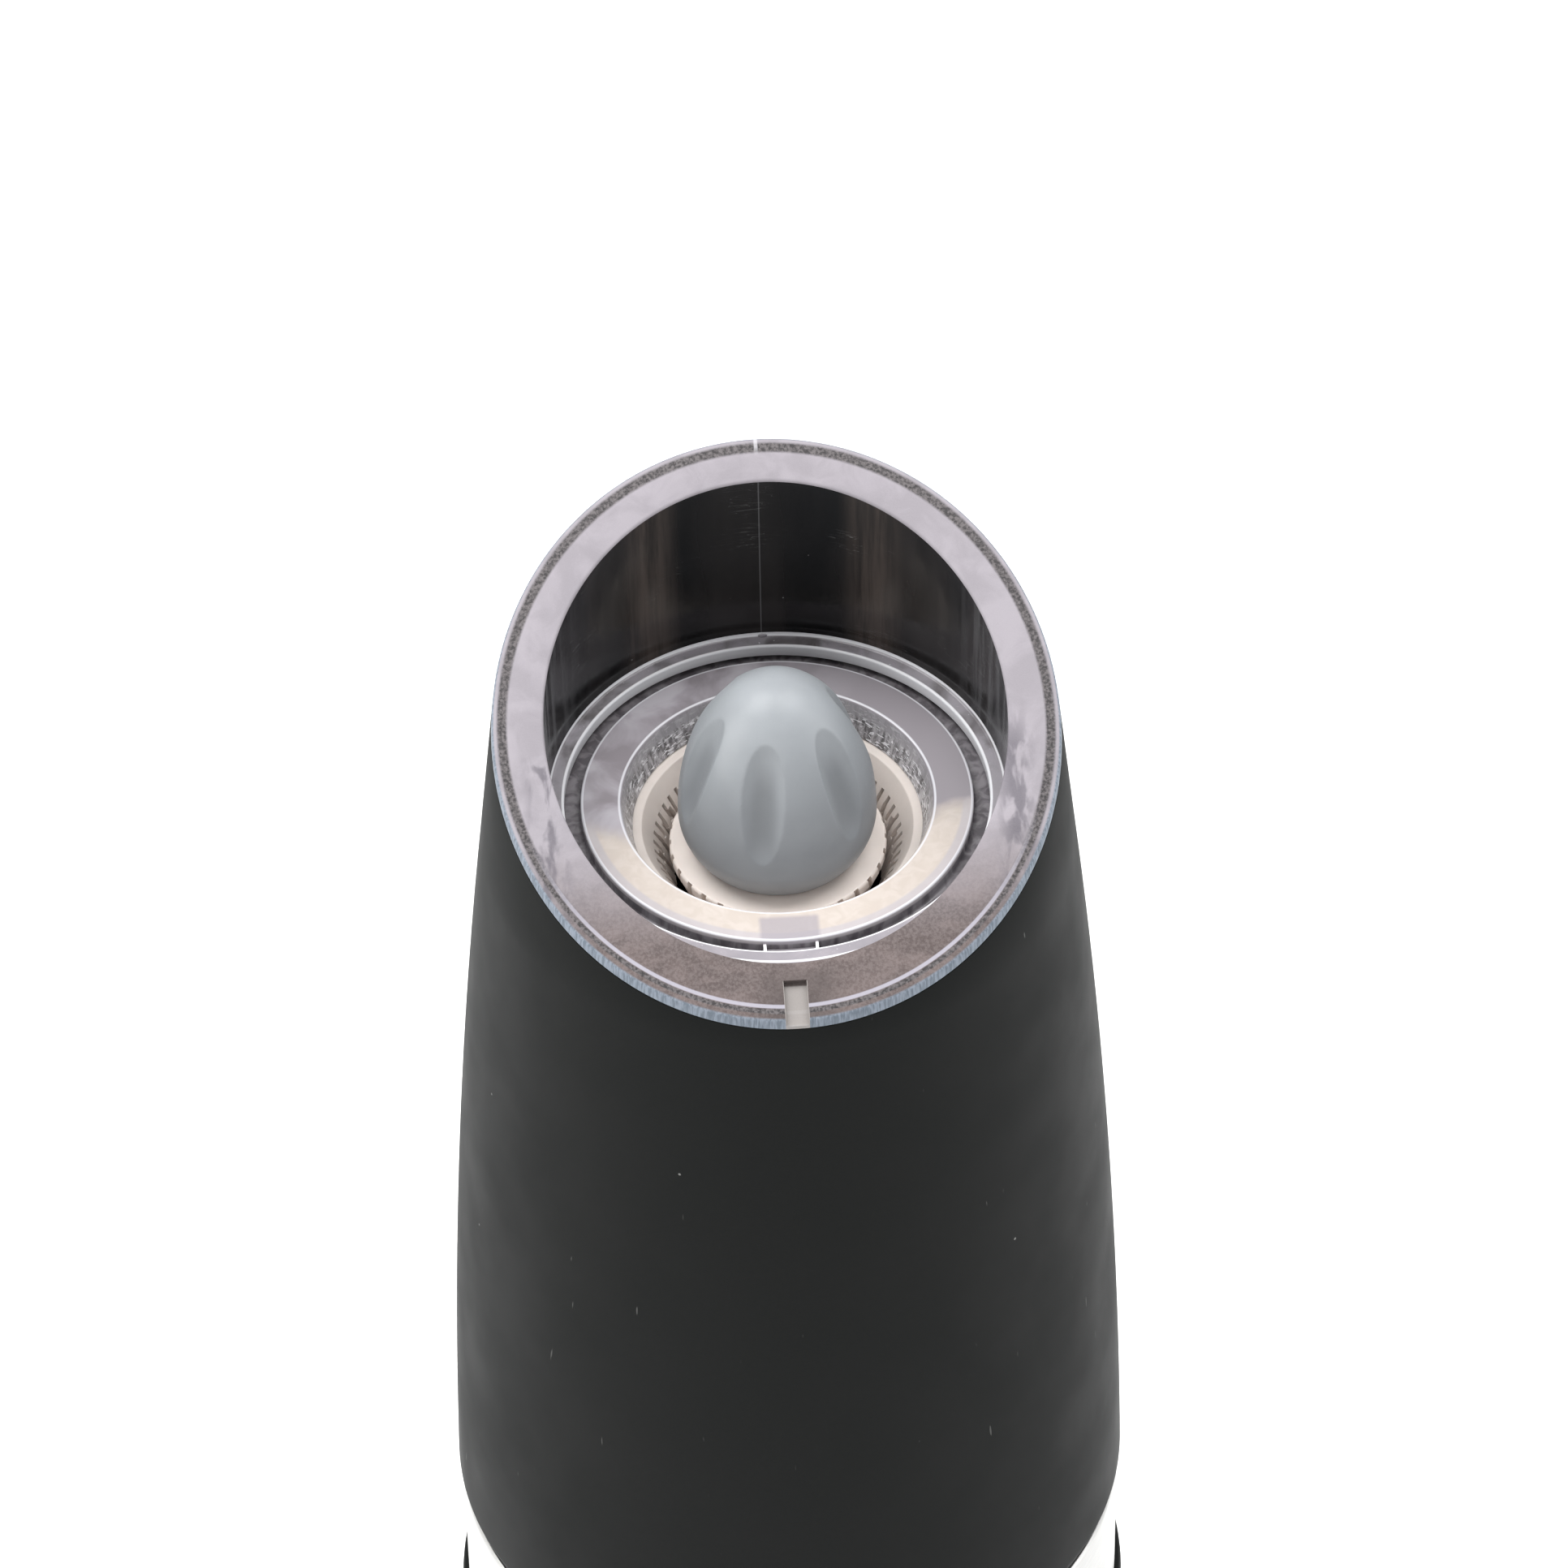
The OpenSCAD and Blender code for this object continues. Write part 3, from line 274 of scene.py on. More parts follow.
def frosted_rim(colours, sizes):
    """The collar's rim: clear acrylic, frosted on top, with the shell's edge showing through as a dark line."""
    f = Finish("frosted_rim", tuple(colours.rim), 0.45, Specular_IOR_Level=0.08, IOR=1.49)
    x, y, z = f.axes()
    r = f.radius()
    low = f.math("MULTIPLY", f.math("SUBTRACT", z, sizes.rim_z), shell_taper(sizes))
    inward = f.math("SUBTRACT", f.math("SUBTRACT", shell_radius(sizes, sizes.rim_z), low), r)
    front = f.fade(y, -8 * MM, -20 * MM)
    mottle = f.grain(0.28 * MM, detail=3, rough=0.6)
    cloud = f.grain(3.2 * MM, detail=4, rough=0.55, warp=0.6)
    fine = f.grain(0.11 * MM, detail=2)
    grit = f.fade(mottle, 0.36, 0.64)
    band = f.mix(f.fade(cloud, 0.35, 0.65), shade(tuple(colours.rim), 0.90), shade(tuple(colours.rim), 1.06))
    smoke = f.fade(f.grain(4.4 * MM, stretch=(1.6, 0.8, 0.6), detail=3, warp=1.2, shift=(3.1, 0.4, 0)), 0.38, 0.62)
    under = f.mix(smoke, linear(76, 65, 63), tuple(colours.rim_front))
    under = f.mix(f.math("MULTIPLY", grit, 0.3), under, linear(132, 122, 121))
    band = f.mix(front, band, under)
    side = f.line(f.math("ABSOLUTE", x), 20.2 * MM, 0.2 * MM, 2.2 * MM)
    side = f.math("MULTIPLY", side, f.fade(y, 1 * MM, -4 * MM))
    streak = f.fade(f.grain(1.3 * MM, stretch=(1, 3.2, 1.6), detail=3, warp=0.4, shift=(0, 7, 0)), 0.44, 0.60)
    band = f.mix(f.math("MULTIPLY", side, f.math("MULTIPLY", streak, 0.75)), band, linear(84, 80, 88))
    heart = f.math("MULTIPLY", f.line(x, 0.4 * MM, 1.4 * MM, 3.2 * MM), f.fade(y, -20.4 * MM, -22.4 * MM))
    band = f.mix(f.math("MULTIPLY", heart, 0.6), band, linear(70, 62, 60))
    # the shell's edge, wide at the back and a thin line at the front
    wide = f.line(inward, 0.86 * MM, 0.26 * MM, 0.3 * MM)
    thin = f.line(inward, 0.72 * MM, 0.14 * MM, 0.12 * MM)
    edge = f.between(front, wide, thin)
    dark = f.mix(grit, linear(46, 43, 44), linear(98, 93, 94))
    band = f.mix(edge, band, dark)
    glint = f.math("MULTIPLY", f.line(inward, 1.12 * MM, 0.1 * MM, 0.1 * MM), front)
    band = f.mix(f.math("MULTIPLY", glint, 0.75), band, linear(172, 170, 182))
    lip = f.fade(inward, 0.22 * MM, 0.05 * MM)
    ribs = f.grain(0.2 * MM, stretch=(1, 1, 12), detail=2)
    lip_tone = f.mix(f.fade(ribs, 0.35, 0.65), linear(98, 108, 119), linear(128, 137, 149))
    band = f.mix(lip, band, lip_tone)
    seam = f.math("MULTIPLY", f.line(x, 0, 0.1 * MM, 0.12 * MM), f.fade(y, 22 * MM, 23 * MM))
    band = f.mix(f.math("MULTIPLY", seam, 0.5), band, linear(205, 203, 208))
    notch = f.math("MULTIPLY", f.line(x, 0, 1.02 * MM, 0.05 * MM), f.fade(y, -22.1 * MM, -22.25 * MM))
    band = f.mix(f.math("MULTIPLY", notch, 0.9), band, linear(150, 145, 142))
    f.set("Base Color", f.mix(f.math("MULTIPLY", fine, 0.06), band, (0.8, 0.8, 0.82)))
    f.set("Roughness", f.fade(mottle, 0.3, 0.7, 0.38, 0.54))
    f.bump(fine, 0.006 * MM)
    return f.material


def cup_wall(sizes):
    """The collar's wall: clear and glossy, with the black shell close behind it, and painted reflections on its back
    and sides.
    """
    f = Finish("clear_cup_wall", linear(26, 26, 27), 0.1, Specular_IOR_Level=0.35, IOR=1.49)
    x, y, z = f.axes()
    across = f.math("ABSOLUTE", x)
    streak = f.grain(1.0 * MM, stretch=(1, 1, 16), detail=4, rough=0.6)
    broad = f.grain(6 * MM, stretch=(1, 1, 5), detail=2, warp=0.3)
    tone = f.mix(f.fade(broad, 0.4, 0.7), linear(20, 20, 21), linear(36, 34, 34))
    # painted reflections: two soft lighter streaks on the back wall, left and right, stand in for reflected lamps
    glow = f.math("MULTIPLY", f.line(across, 9.6 * MM, 0.4 * MM, 2.6 * MM), f.fade(streak, 0.3, 0.6, 0.3, 1.0))
    glow = f.math("MULTIPLY", glow, f.fade(y, 8 * MM, 14 * MM))
    tone = f.mix(f.math("MULTIPLY", glow, 0.75), tone, linear(74, 66, 62))
    # painted reflection: a lighter streaky sheen towards both sides of the wall
    side = f.math("MULTIPLY", f.fade(across, 15.5 * MM, 19.6 * MM), f.fade(streak, 0.40, 0.64))
    tone = f.mix(f.math("MULTIPLY", side, 0.6), tone, linear(88, 88, 90))
    mould = f.math("MULTIPLY", f.line(x, 0, 0.03 * MM, 0.05 * MM), f.fade(y, 0, 5 * MM))
    tone = f.mix(f.math("MULTIPLY", mould, 0.3), tone, linear(130, 130, 132))
    scratch = f.grain(0.9 * MM, stretch=(9, 9, 0.5), detail=2, warp=1.5, shift=(4, 2, 9))
    hair = f.line(scratch, 0.5, 0.0016, 0.0022)
    gate = f.fade(f.grain(7 * MM, detail=1, shift=(1.7, 0.2, 5)), 0.55, 0.63)
    hairs = f.math("MULTIPLY", hair, f.math("MULTIPLY", gate, 0.35))
    dust = f.math("MULTIPLY", f.specks(2.2 * MM, 0.09 * MM, 0.3), 0.6)
    tone = f.mix(f.math("MAXIMUM", hairs, dust), tone, linear(140, 140, 140))
    f.set("Base Color", tone)
    f.set("Roughness", f.fade(streak, 0.3, 0.7, 0.1, 0.2))
    f.bump(f.grain(2.5 * MM, stretch=(1, 1, 3), detail=2), 0.008 * MM)
    return f.material


def clear_step(sizes):
    """The polished clear step at the foot of the cup wall, with painted highlights along its edges, painted light and
    shade on its top and painted shade on its upright face.
    """
    f = Finish("clear_step", linear(150, 145, 150), 0.14, Specular_IOR_Level=0.4, IOR=1.49)
    r = f.radius()
    x, y, z = f.axes()
    cloud = f.grain(3.5 * MM, detail=4, warp=0.5)
    sparkle = f.grain(0.35 * MM, detail=3, rough=0.7)
    # painted light and shade: the top is lighter towards the front and darker towards the back
    top = f.mix(f.fade(y, -6 * MM, 8 * MM), linear(158, 152, 158), linear(92, 88, 90))
    top = f.mix(f.fade(cloud, 0.35, 0.65), top, shade(linear(150, 146, 152), 0.9))
    # painted shade on the step's upright face and underside, below the ledge
    low = f.fade(z, sizes.ledge_z - 0.22 * MM, sizes.ledge_z - 0.5 * MM)
    tone = f.mix(low, top, linear(74, 72, 74))
    tone = f.mix(f.math("MULTIPLY", f.fade(sparkle, 0.66, 0.72), 0.5), tone, (0.8, 0.8, 0.83))
    # painted highlights along the step's two edges
    painted_edge_highlights = f.math("MAXIMUM", f.line(r, 18.48 * MM, 0.1 * MM, 0.1 * MM), f.line(r, 19.76 * MM, 0.08 * MM, 0.1 * MM))
    tone = f.mix(painted_edge_highlights, tone, (0.74, 0.74, 0.77))
    f.set("Base Color", tone)
    f.set("Roughness", f.fade(sparkle, 0.3, 0.7, 0.1, 0.22))
    f.bump(sparkle, 0.010 * MM)
    return f.material


def milky_ring(sizes, top_z):
    """The thick clear ring, with painted light and shade: pale where the ceramic lights it from below, grey at the
    sides with painted shade on the right, painted highlights on its edges, a painted silvery reflection in the bore and
    painted shade in the moat.
    """
    f = Finish("holder_acrylic", linear(170, 166, 172), 0.16, Specular_IOR_Level=0.4, IOR=1.49)
    x, y, z = f.axes()
    r = f.radius()
    cloud = f.grain(5 * MM, detail=4, warp=0.5)
    wisp = f.grain(1.3 * MM, stretch=(1, 1, 3), detail=3, warp=0.8)
    side = f.mix(f.fade(cloud, 0.35, 0.65), linear(132, 126, 131), linear(170, 166, 172))
    # painted shade: darker towards the ring's right side
    side = f.mix(f.fade(x, -3 * MM, 10 * MM), side, linear(138, 133, 138))
    # painted light: pale cream at the front where the ceramic lights it from below, less so towards the outer edge
    lit = f.math("ADD", y, f.math("MULTIPLY", f.math("SUBTRACT", cloud, 0.5), 6 * MM))
    lit = f.math("SUBTRACT", lit, f.math("MULTIPLY", f.math("ABSOLUTE", x), 0.28))
    cream = f.fade(lit, -5.2 * MM, -8.4 * MM)
    pale = f.mix(f.fade(wisp, 0.35, 0.65), linear(184, 174, 166), linear(190, 181, 174))
    tone = f.mix(cream, side, pale)
    outer = f.math("MULTIPLY", f.fade(r, 15.9 * MM, 16.2 * MM), cream)
    tone = f.mix(f.math("MULTIPLY", outer, 0.65), tone, linear(168, 164, 171))
    patch = f.math("MULTIPLY", f.line(x, 0, 2.3 * MM, 0.5 * MM), f.fade(y, -13.8 * MM, -14.4 * MM))
    tone = f.mix(f.math("MULTIPLY", patch, 0.75), tone, linear(146, 141, 148))
    # painted highlights along the ring's outer and inner edges
    painted_edge_highlights = f.math("MAXIMUM", f.line(r, 16.86 * MM, 0.06 * MM, 0.1 * MM), f.line(r, 13.66 * MM, 0.05 * MM, 0.09 * MM))
    tone = f.mix(f.math("MULTIPLY", painted_edge_highlights, 0.8), tone, (0.66, 0.66, 0.70))
    # the bore: a painted silvery reflection, streaked like scratches, with painted glints and greyer near the top
    bore = f.fade(r, 13.5 * MM, 13.4 * MM)
    streak = f.grain(0.5 * MM, stretch=(1, 1, 7), detail=4, rough=0.65)
    spark = f.grain(0.4 * MM, stretch=(2, 2, 0.5), detail=3, warp=0.7, shift=(5, 1, 2))
    painted_bore_reflection = f.mix(f.fade(streak, 0.36, 0.64), linear(98, 96, 98), linear(176, 174, 178))
    painted_bore_reflection = f.mix(f.math("MULTIPLY", f.fade(spark, 0.55, 0.62), 0.85), painted_bore_reflection, linear(236, 236, 240))
    upper = f.fade(z, top_z - 1.3 * MM, top_z - 0.9 * MM)
    painted_bore_reflection = f.mix(f.math("MULTIPLY", upper, 0.8), painted_bore_reflection, linear(150, 148, 152))
    tone = f.mix(bore, tone, painted_bore_reflection)
    # the moat outside the ring: painted shade in the recess
    painted_moat_shade = f.math("MULTIPLY", f.fade(z, top_z - 0.3 * MM, top_z - 0.6 * MM), f.fade(r, 16.8 * MM, 16.9 * MM))
    dark = f.mix(f.fade(wisp, 0.35, 0.65), linear(92, 88, 92), linear(130, 126, 130))
    tone = f.mix(painted_moat_shade, tone, dark)
    ribs = f.math("MULTIPLY", f.line(f.math("ABSOLUTE", x), 2.25 * MM, 0.16 * MM, 0.05 * MM), f.fade(y, -16.9 * MM, -17.1 * MM))
    tone = f.mix(f.math("MULTIPLY", ribs, 0.8), tone, (0.85, 0.84, 0.86))
    f.set("Base Color", tone)
    f.set("Roughness", f.fade(cloud, 0.3, 0.7, 0.12, 0.24))
    f.bump(f.grain(1.8 * MM, detail=3), 0.006 * MM)
    return f.material


def clear_glass(name, tint, roughness, haze=0.0, **sockets):
    """Clear acrylic that light goes through, with faint flow marks and hairline scratches."""
    f = Finish(name, tint, roughness, Transmission_Weight=1.0 - haze, IOR=1.49, **sockets)
    cloud = f.grain(4 * MM, detail=3, warp=0.4)
    hair = f.line(f.grain(0.8 * MM, stretch=(8, 8, 0.6), detail=2, warp=1.2), 0.5, 0.002, 0.003)
    f.tones(f.fade(cloud, 0.3, 0.7), shade(tint, 0.95), tint)
    rough = f.fade(cloud, 0.3, 0.7, roughness * 0.7, roughness * 1.3)
    f.set("Roughness", f.math("ADD", rough, f.math("MULTIPLY", hair, 0.15)))
    f.bump(f.grain(1.8 * MM, detail=3), 0.008 * MM)
    return f


def ceramic(colours, name, painted_light_level):
    """White ceramic as it comes from the kiln, with fine pits and pepper specks."""
    # the level scales the one ceramic colour: below 1 it is painted shade, above 1 painted light
    colour = shade(tuple(colours.ceramic), painted_light_level)
    f = Finish(name, colour, 0.42, Specular_IOR_Level=0.45, Subsurface_Weight=0.12,
               Subsurface_Radius=(1.0, 0.8, 0.7), Subsurface_Scale=0.6 * MM)
    cloud = f.grain(2.4 * MM, detail=4)
    pits = f.grain(0.16 * MM, detail=3)
    tone = f.mix(f.fade(cloud, 0.3, 0.7), shade(colour, 0.94), colour)
    tone = f.mix(f.math("MULTIPLY", f.specks(1.2 * MM, 0.07 * MM, 0.25), 0.5), tone, linear(120, 100, 84))
    f.set("Base Color", tone)
    f.set("Roughness", f.fade(pits, 0.3, 0.7, 0.36, 0.5))
    f.bump(pits, 0.006 * MM)
    return f.material


def knob_plastic(colours, flutes, first):
    """Satin grey plastic with a fine leathery grain, with painted shade down the finger flutes."""
    colour = tuple(colours.knob)
    f = Finish("knob_grey", colour, 0.4, Specular_IOR_Level=0.42)
    x, y, z = f.axes()
    cloud = f.grain(4 * MM, detail=4)
    fine = f.grain(0.13 * MM, detail=3, rough=0.6)
    tone = f.mix(f.fade(cloud, 0.3, 0.7), shade(colour, 0.95), shade(colour, 1.04))
    # painted shade: darker down the middle of each finger flute
    turn = f.math("MULTIPLY", f.math("SUBTRACT", f.math("ARCTAN2", y, x), first), flutes)
    wave = f.math("COSINE", turn)
    tall = f.line(z, KNOB_LOW.z + 9.9 * MM, 1.5 * MM, 3.6 * MM)
    painted_flute_shade = f.math("MULTIPLY", f.fade(wave, 0.25, 1.0), tall)
    tone = f.mix(f.math("MULTIPLY", painted_flute_shade, 0.5), tone, shade(colour, 0.52))
    f.set("Base Color", tone)
    f.set("Roughness", f.fade(fine, 0.3, 0.7, 0.34, 0.46))
    f.bump(fine, 0.007 * MM)
    return f.material


# Shaping -----------------------------------------------------------------------------------------


def clear_selection():
    bpy.ops.object.select_all(action="DESELECT")


def choose(piece):
    clear_selection()
    piece.select_set(True)
    bpy.context.view_layer.objects.active = piece


def edit(piece):
    choose(piece)
    bpy.ops.object.mode_set(mode="EDIT")


def done():
    bpy.ops.object.mode_set(mode="OBJECT")


def pick(kind, test):
    """Selects the vertices, edges or faces of the piece in edit mode that pass the test."""
    bpy.ops.mesh.select_mode(type=kind)
    bpy.ops.mesh.select_all(action="DESELECT")
    mesh = bmesh.from_edit_mesh(bpy.context.object.data)
    found = [e for e in {"VERT": mesh.verts, "EDGE": mesh.edges, "FACE": mesh.faces}[kind] if test(e)]
    for e in found:
        e.select_set(True)
    bmesh.update_edit_mesh(bpy.context.object.data)
    if not found:
        raise RuntimeError("nothing to select on " + bpy.context.object.name)
    return len(found)


def rounded(points, radii, parts=5):
    """The profile with its corners rounded. Radii holds one radius per corner, 0 for a sharp one."""
    made = []
    count = len(points)
    for i, (p, r) in enumerate(zip(points, radii)):
        a, b, c = Vector(points[i - 1]), Vector(p), Vector(points[(i + 1) % count])
        if not r:
            made.append(tuple(b))
            continue
        to_a, to_c = (a - b).normalized(), (c - b).normalized()
        half = to_a.angle(to_c) / 2
        cut = min(r / tan(half), 0.48 * (a - b).length, 0.48 * (c - b).length)
        r = cut * tan(half)
        middle = b + (to_a + to_c).normalized() * (r / sin(half))
        start, end = (b + to_a * cut) - middle, (b + to_c * cut) - middle
        for k in range(parts + 1):
            turn = start.normalized().slerp(end.normalized(), k / parts) * r
            made.append(tuple(middle + turn))
    return made


def turned(name, profile, steps, closed=True):
    """A piece turned on the Z axis: a profile of (radius, height) points is drawn out and spun."""
    clear_selection()
    bpy.ops.mesh.primitive_plane_add(size=MM)
    piece = bpy.context.object
    piece.name = piece.data.name = name
    bpy.ops.object.mode_set(mode="EDIT")
    bpy.ops.mesh.select_mode(type="VERT")
    bpy.ops.mesh.select_all(action="SELECT")
    bpy.ops.mesh.merge(type="CENTER")
    points = list(profile) + ([profile[0]] if closed else [])
    bpy.ops.transform.translate(value=(points[0][0], 0, points[0][1]))
    for (x0, z0), (x1, z1) in zip(points, points[1:]):
        bpy.ops.mesh.extrude_region_move(TRANSFORM_OT_translate={"value": (x1 - x0, 0, z1 - z0)})
    bpy.ops.mesh.select_all(action="SELECT")
    bpy.ops.mesh.remove_doubles(threshold=1e-6)
    bpy.ops.mesh.spin(steps=steps, angle=2 * pi, use_auto_merge=False, center=(0, 0, 0), axis=(0, 0, 1))
    bpy.ops.mesh.select_all(action="SELECT")
    bpy.ops.mesh.remove_doubles(threshold=2e-6)
    bpy.ops.mesh.delete_loose(use_verts=True, use_edges=True, use_faces=False)
    bpy.ops.mesh.select_all(action="SELECT")
    bpy.ops.mesh.normals_make_consistent(inside=False)
    done()
    return piece


def finish_piece(piece, material, body, slot, *nodes, angle=32):
    """Smooths a piece, gives it its finish and body, and lets it stand for its nodes."""
    choose(piece)
    bpy.ops.object.transform_apply(location=True, rotation=True, scale=True)
    bpy.ops.object.shade_smooth_by_angle(angle=radians(angle))
    if material is not None:
        piece.data.materials.clear()
        piece.data.materials.append(material)
    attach(piece, body)
    if nodes:
        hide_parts(*nodes)
    clear_selection()
    return piece


def combine(piece, tool, kind="DIFFERENCE"):
    """Cuts the tool out of the piece, or adds it, and removes the tool."""
    choose(piece)
    made = piece.modifiers.new("shape", "BOOLEAN")
    made.operation, made.object, made.solver = kind, tool, "EXACT"
    bpy.ops.object.modifier_apply(modifier=made.name)
    bpy.data.objects.remove(tool)
    return piece


def apply_modifier(piece, kind, **settings):
    choose(piece)
    made = piece.modifiers.new("shape", kind)
    for key, value in settings.items():
        setattr(made, key, value)
    bpy.ops.object.modifier_apply(modifier=made.name)


def block(low, high):
    """A box between two corners, used as a cutting tool."""
    clear_selection()
    bpy.ops.mesh.primitive_cube_add(size=1)
    tool = bpy.context.object
    edit(tool)
    bpy.ops.mesh.select_all(action="SELECT")
    size = Vector(high) - Vector(low)
    bpy.ops.transform.resize(value=tuple(size))
    bpy.ops.transform.translate(value=tuple((Vector(high) + Vector(low)) / 2))
    done()
    return tool


def copies_around(tool, count, first=0.0):
    """The tool repeated around the Z axis as one object, each copy with its own mesh."""
    made = []
    for i in range(count):
        one = tool.copy()
        one.data = tool.data.copy()
        bpy.context.collection.objects.link(one)
        one.data.transform(Matrix.Rotation(first + 2 * pi * i / count, 4, "Z"))
        made.append(one)
    bpy.data.objects.remove(tool)
    clear_selection()
    for one in made:
        one.select_set(True)
    bpy.context.view_layer.objects.active = made[0]
    bpy.ops.object.join()
    return bpy.context.object


def mouth_normal(sizes):
    return Vector((0, -sin(sizes.slope), cos(sizes.slope)))


def above(sizes, drop, point):
    """Distance of a point above the mouth's plane, moved down by drop."""
    return (point - Vector((0, 0, sizes.rim_z - drop))).dot(mouth_normal(sizes))


def trim(piece, sizes, drop, keep_low=True):
    """Cuts a turned surface at the mouth's plane and keeps the part below or above it."""
    edit(piece)
    bpy.ops.mesh.select_all(action="SELECT")
    bpy.ops.mesh.bisect(plane_co=(0, 0, sizes.rim_z - drop), plane_no=tuple(mouth_normal(sizes)),
                        clear_outer=keep_low, clear_inner=not keep_low)
    done()


def on_plane(sizes, drop, edge):
    return all(abs(above(sizes, drop, v.co)) < 2e-6 for v in edge.verts)


def close_mouth(sizes, drop):
    """Fills the gap between the two rings of open edges on the mouth's plane, in edit mode."""
    mesh = bmesh.from_edit_mesh(bpy.context.object.data)
    open_edges = {e for e in mesh.edges if e.is_boundary and on_plane(sizes, drop, e)}
    left = {v for e in open_edges for v in e.verts}
    rings = []
    while left:
        ring, last = set(), {next(iter(left))}
        while last:
            ring |= last
            last = {e.other_vert(v) for v in last for e in v.link_edges if e in open_edges} - ring
        left -= ring
        middle = sum((v.co for v in ring), Vector()) / len(ring)
        rings.append(sorted(ring, key=lambda v: (atan2(v.co.y - middle.y, v.co.x - middle.x) + pi / 2 + 0.001) % (2 * pi)))
    if len(rings) != 2 or len(rings[0]) != len(rings[1]):
        raise RuntimeError("the mouth's two rings don't match on " + bpy.context.object.name)
    for i in range(len(rings[0])):
        mesh.faces.new((rings[0][i - 1], rings[0][i], rings[1][i], rings[1][i - 1]))
    bmesh.update_edit_mesh(bpy.context.object.data)


def shell_radius(sizes, z):
    """Radius of the upper shell at a height: an arc, with a straight stretch where the mouth cuts it."""
    middle = BAND_HIGH.z + 2.15 * MM
    arc = ((sizes.rim_z - middle) ** 2 + (sizes.belly_r - sizes.rim_r) ** 2) / (2 * (sizes.belly_r - sizes.rim_r))

    def on_arc(h):
        return sizes.belly_r - arc + sqrt(arc ** 2 - (h - middle) ** 2)

    low, high, flare = 178 * MM, 199 * MM, 0.45 * MM
    if z > 175 * MM:
        return on_arc(low) + (on_arc(high) + flare - on_arc(low)) * (z - low) / (high - low)
    return on_arc(z)


def shell_taper(sizes):
    """How much the shell narrows for each metre of height at the mouth."""
    return (shell_radius(sizes, 180 * MM) - shell_radius(sizes, 200 * MM)) / (20 * MM)


def quarter(r, z, size, start, end, parts=8):
    """Points of an arc of the given size about (r, z), between two angles in degrees."""
    return [(r + size * cos(radians(start + (end - start) * i / parts)),
             z + size * sin(radians(start + (end - start) * i / parts))) for i in range(parts + 1)]


class Build(Operator):
    """Base of the operators that build pieces."""

    bl_options = {"REGISTER"}

    def execute(self, context):
        self.build(context.scene.mill_sizes, context.scene.mill_colours)
        return {"FINISHED"}


class MILL_OT_housing(Build):
    """Build the lower shell with its rounded foot edge and inner wall"""

    bl_idname = "mill.housing"
    bl_label = "Lower Shell"

    def build(self, sizes, colours):
        top = HOUSING_HIGH.z
        arc = (top ** 2 + (sizes.belly_r - sizes.base_r) ** 2) / (2 * (sizes.belly_r - sizes.base_r))

        def side(z):
            return sizes.belly_r - arc + sqrt(arc ** 2 - (top - z) ** 2)

        low, corner, wall = HOUSING_LOW.z, 3 * MM, 2.4 * MM
        outer = quarter(side(low + corner) - corner, low + corner, corner, -90, 0, 12)
        outer += [(side(z), z) for z in (low + corner + (top - 1.2 * MM - low - corner) * i / 24 for i in range(1, 25))]
        outer += quarter(side(top) - 0.55 * MM, top - 0.55 * MM, 0.5 * MM, 10, 85, 5)
        lip = quarter(27.2 * MM, top - 0.3 * MM, 0.25 * MM, 95, 175, 4)
        inner = [(26.9 * MM, 57.4 * MM), (26.5 * MM, 56.8 * MM)]
        inner += [(side(z) - wall, z) for z in (56 * MM - 51.6 * MM * i / 10 for i in range(11))]
        inner += [(side(4 * MM) - wall - 1.2 * MM, 3.4 * MM), (0, 3.4 * MM)]
        groove = [(18.5 * MM, low), (18.5 * MM, 2 * MM), (22.5 * MM, 2 * MM), (22.5 * MM, low)]
        profile = [(0, low)] + groove + outer + lip + inner
        piece = turned("housing_shell", profile, sizes.steps)
        finish_piece(piece, soft_touch(colours), "housing", "black_soft_touch", "lower_shell")


class MILL_OT_foot(Build):
    """Build the rubber foot ring with two shallow grooves in its tread"""

    bl_idname = "mill.foot"
    bl_label = "Foot Ring"

    def build(self, sizes, colours):
        a, b, top = 18.55 * MM, FOOT_HIGH.x, FOOT_HIGH.z
        tread = []
        for r in (19.3, 20.3, 21.3):
            tread += [(r * MM, 0), ((r + 0.5) * MM, 0), ((r + 0.62) * MM, 0.35 * MM), ((r + 0.88) * MM, 0.35 * MM)]
        profile = [(a, 0.45 * MM), (a + 0.35 * MM, 0)] + tread[:-2] + [(b - 0.35 * MM, 0), (b, 0.45 * MM), (b, top), (a, top)]
        piece = turned("foot_tread", profile, 144)
        rubber = moulded("foot_rubber", (0.02, 0.02, 0.02), 0.72, grain=0.2 * MM, depth=0.01 * MM)
        finish_piece(piece, rubber.material, "housing", "black_rubber", "foot_ring")


class MILL_OT_band(Build):
    """Build the brushed steel band with rolled edges"""

    bl_idname = "mill.band"
    bl_label = "Steel Band"

    def build(self, sizes, colours):
        low, high, back = BAND_LOW.z, BAND_HIGH.z, 28.1 * MM
        corners = [(back, low), (28.62 * MM, low), (BAND_HIGH.x, high - 0.3 * MM), (28.7 * MM, high), (back, high)]
        profile = rounded(corners, [0, 0.25 * MM, 0.3 * MM, 0.1 * MM, 0])
        piece = turned("band_sleeve", profile, sizes.steps)
        finish_piece(piece, brushed_band(colours), "motor_unit", "brushed_band", "steel_band")


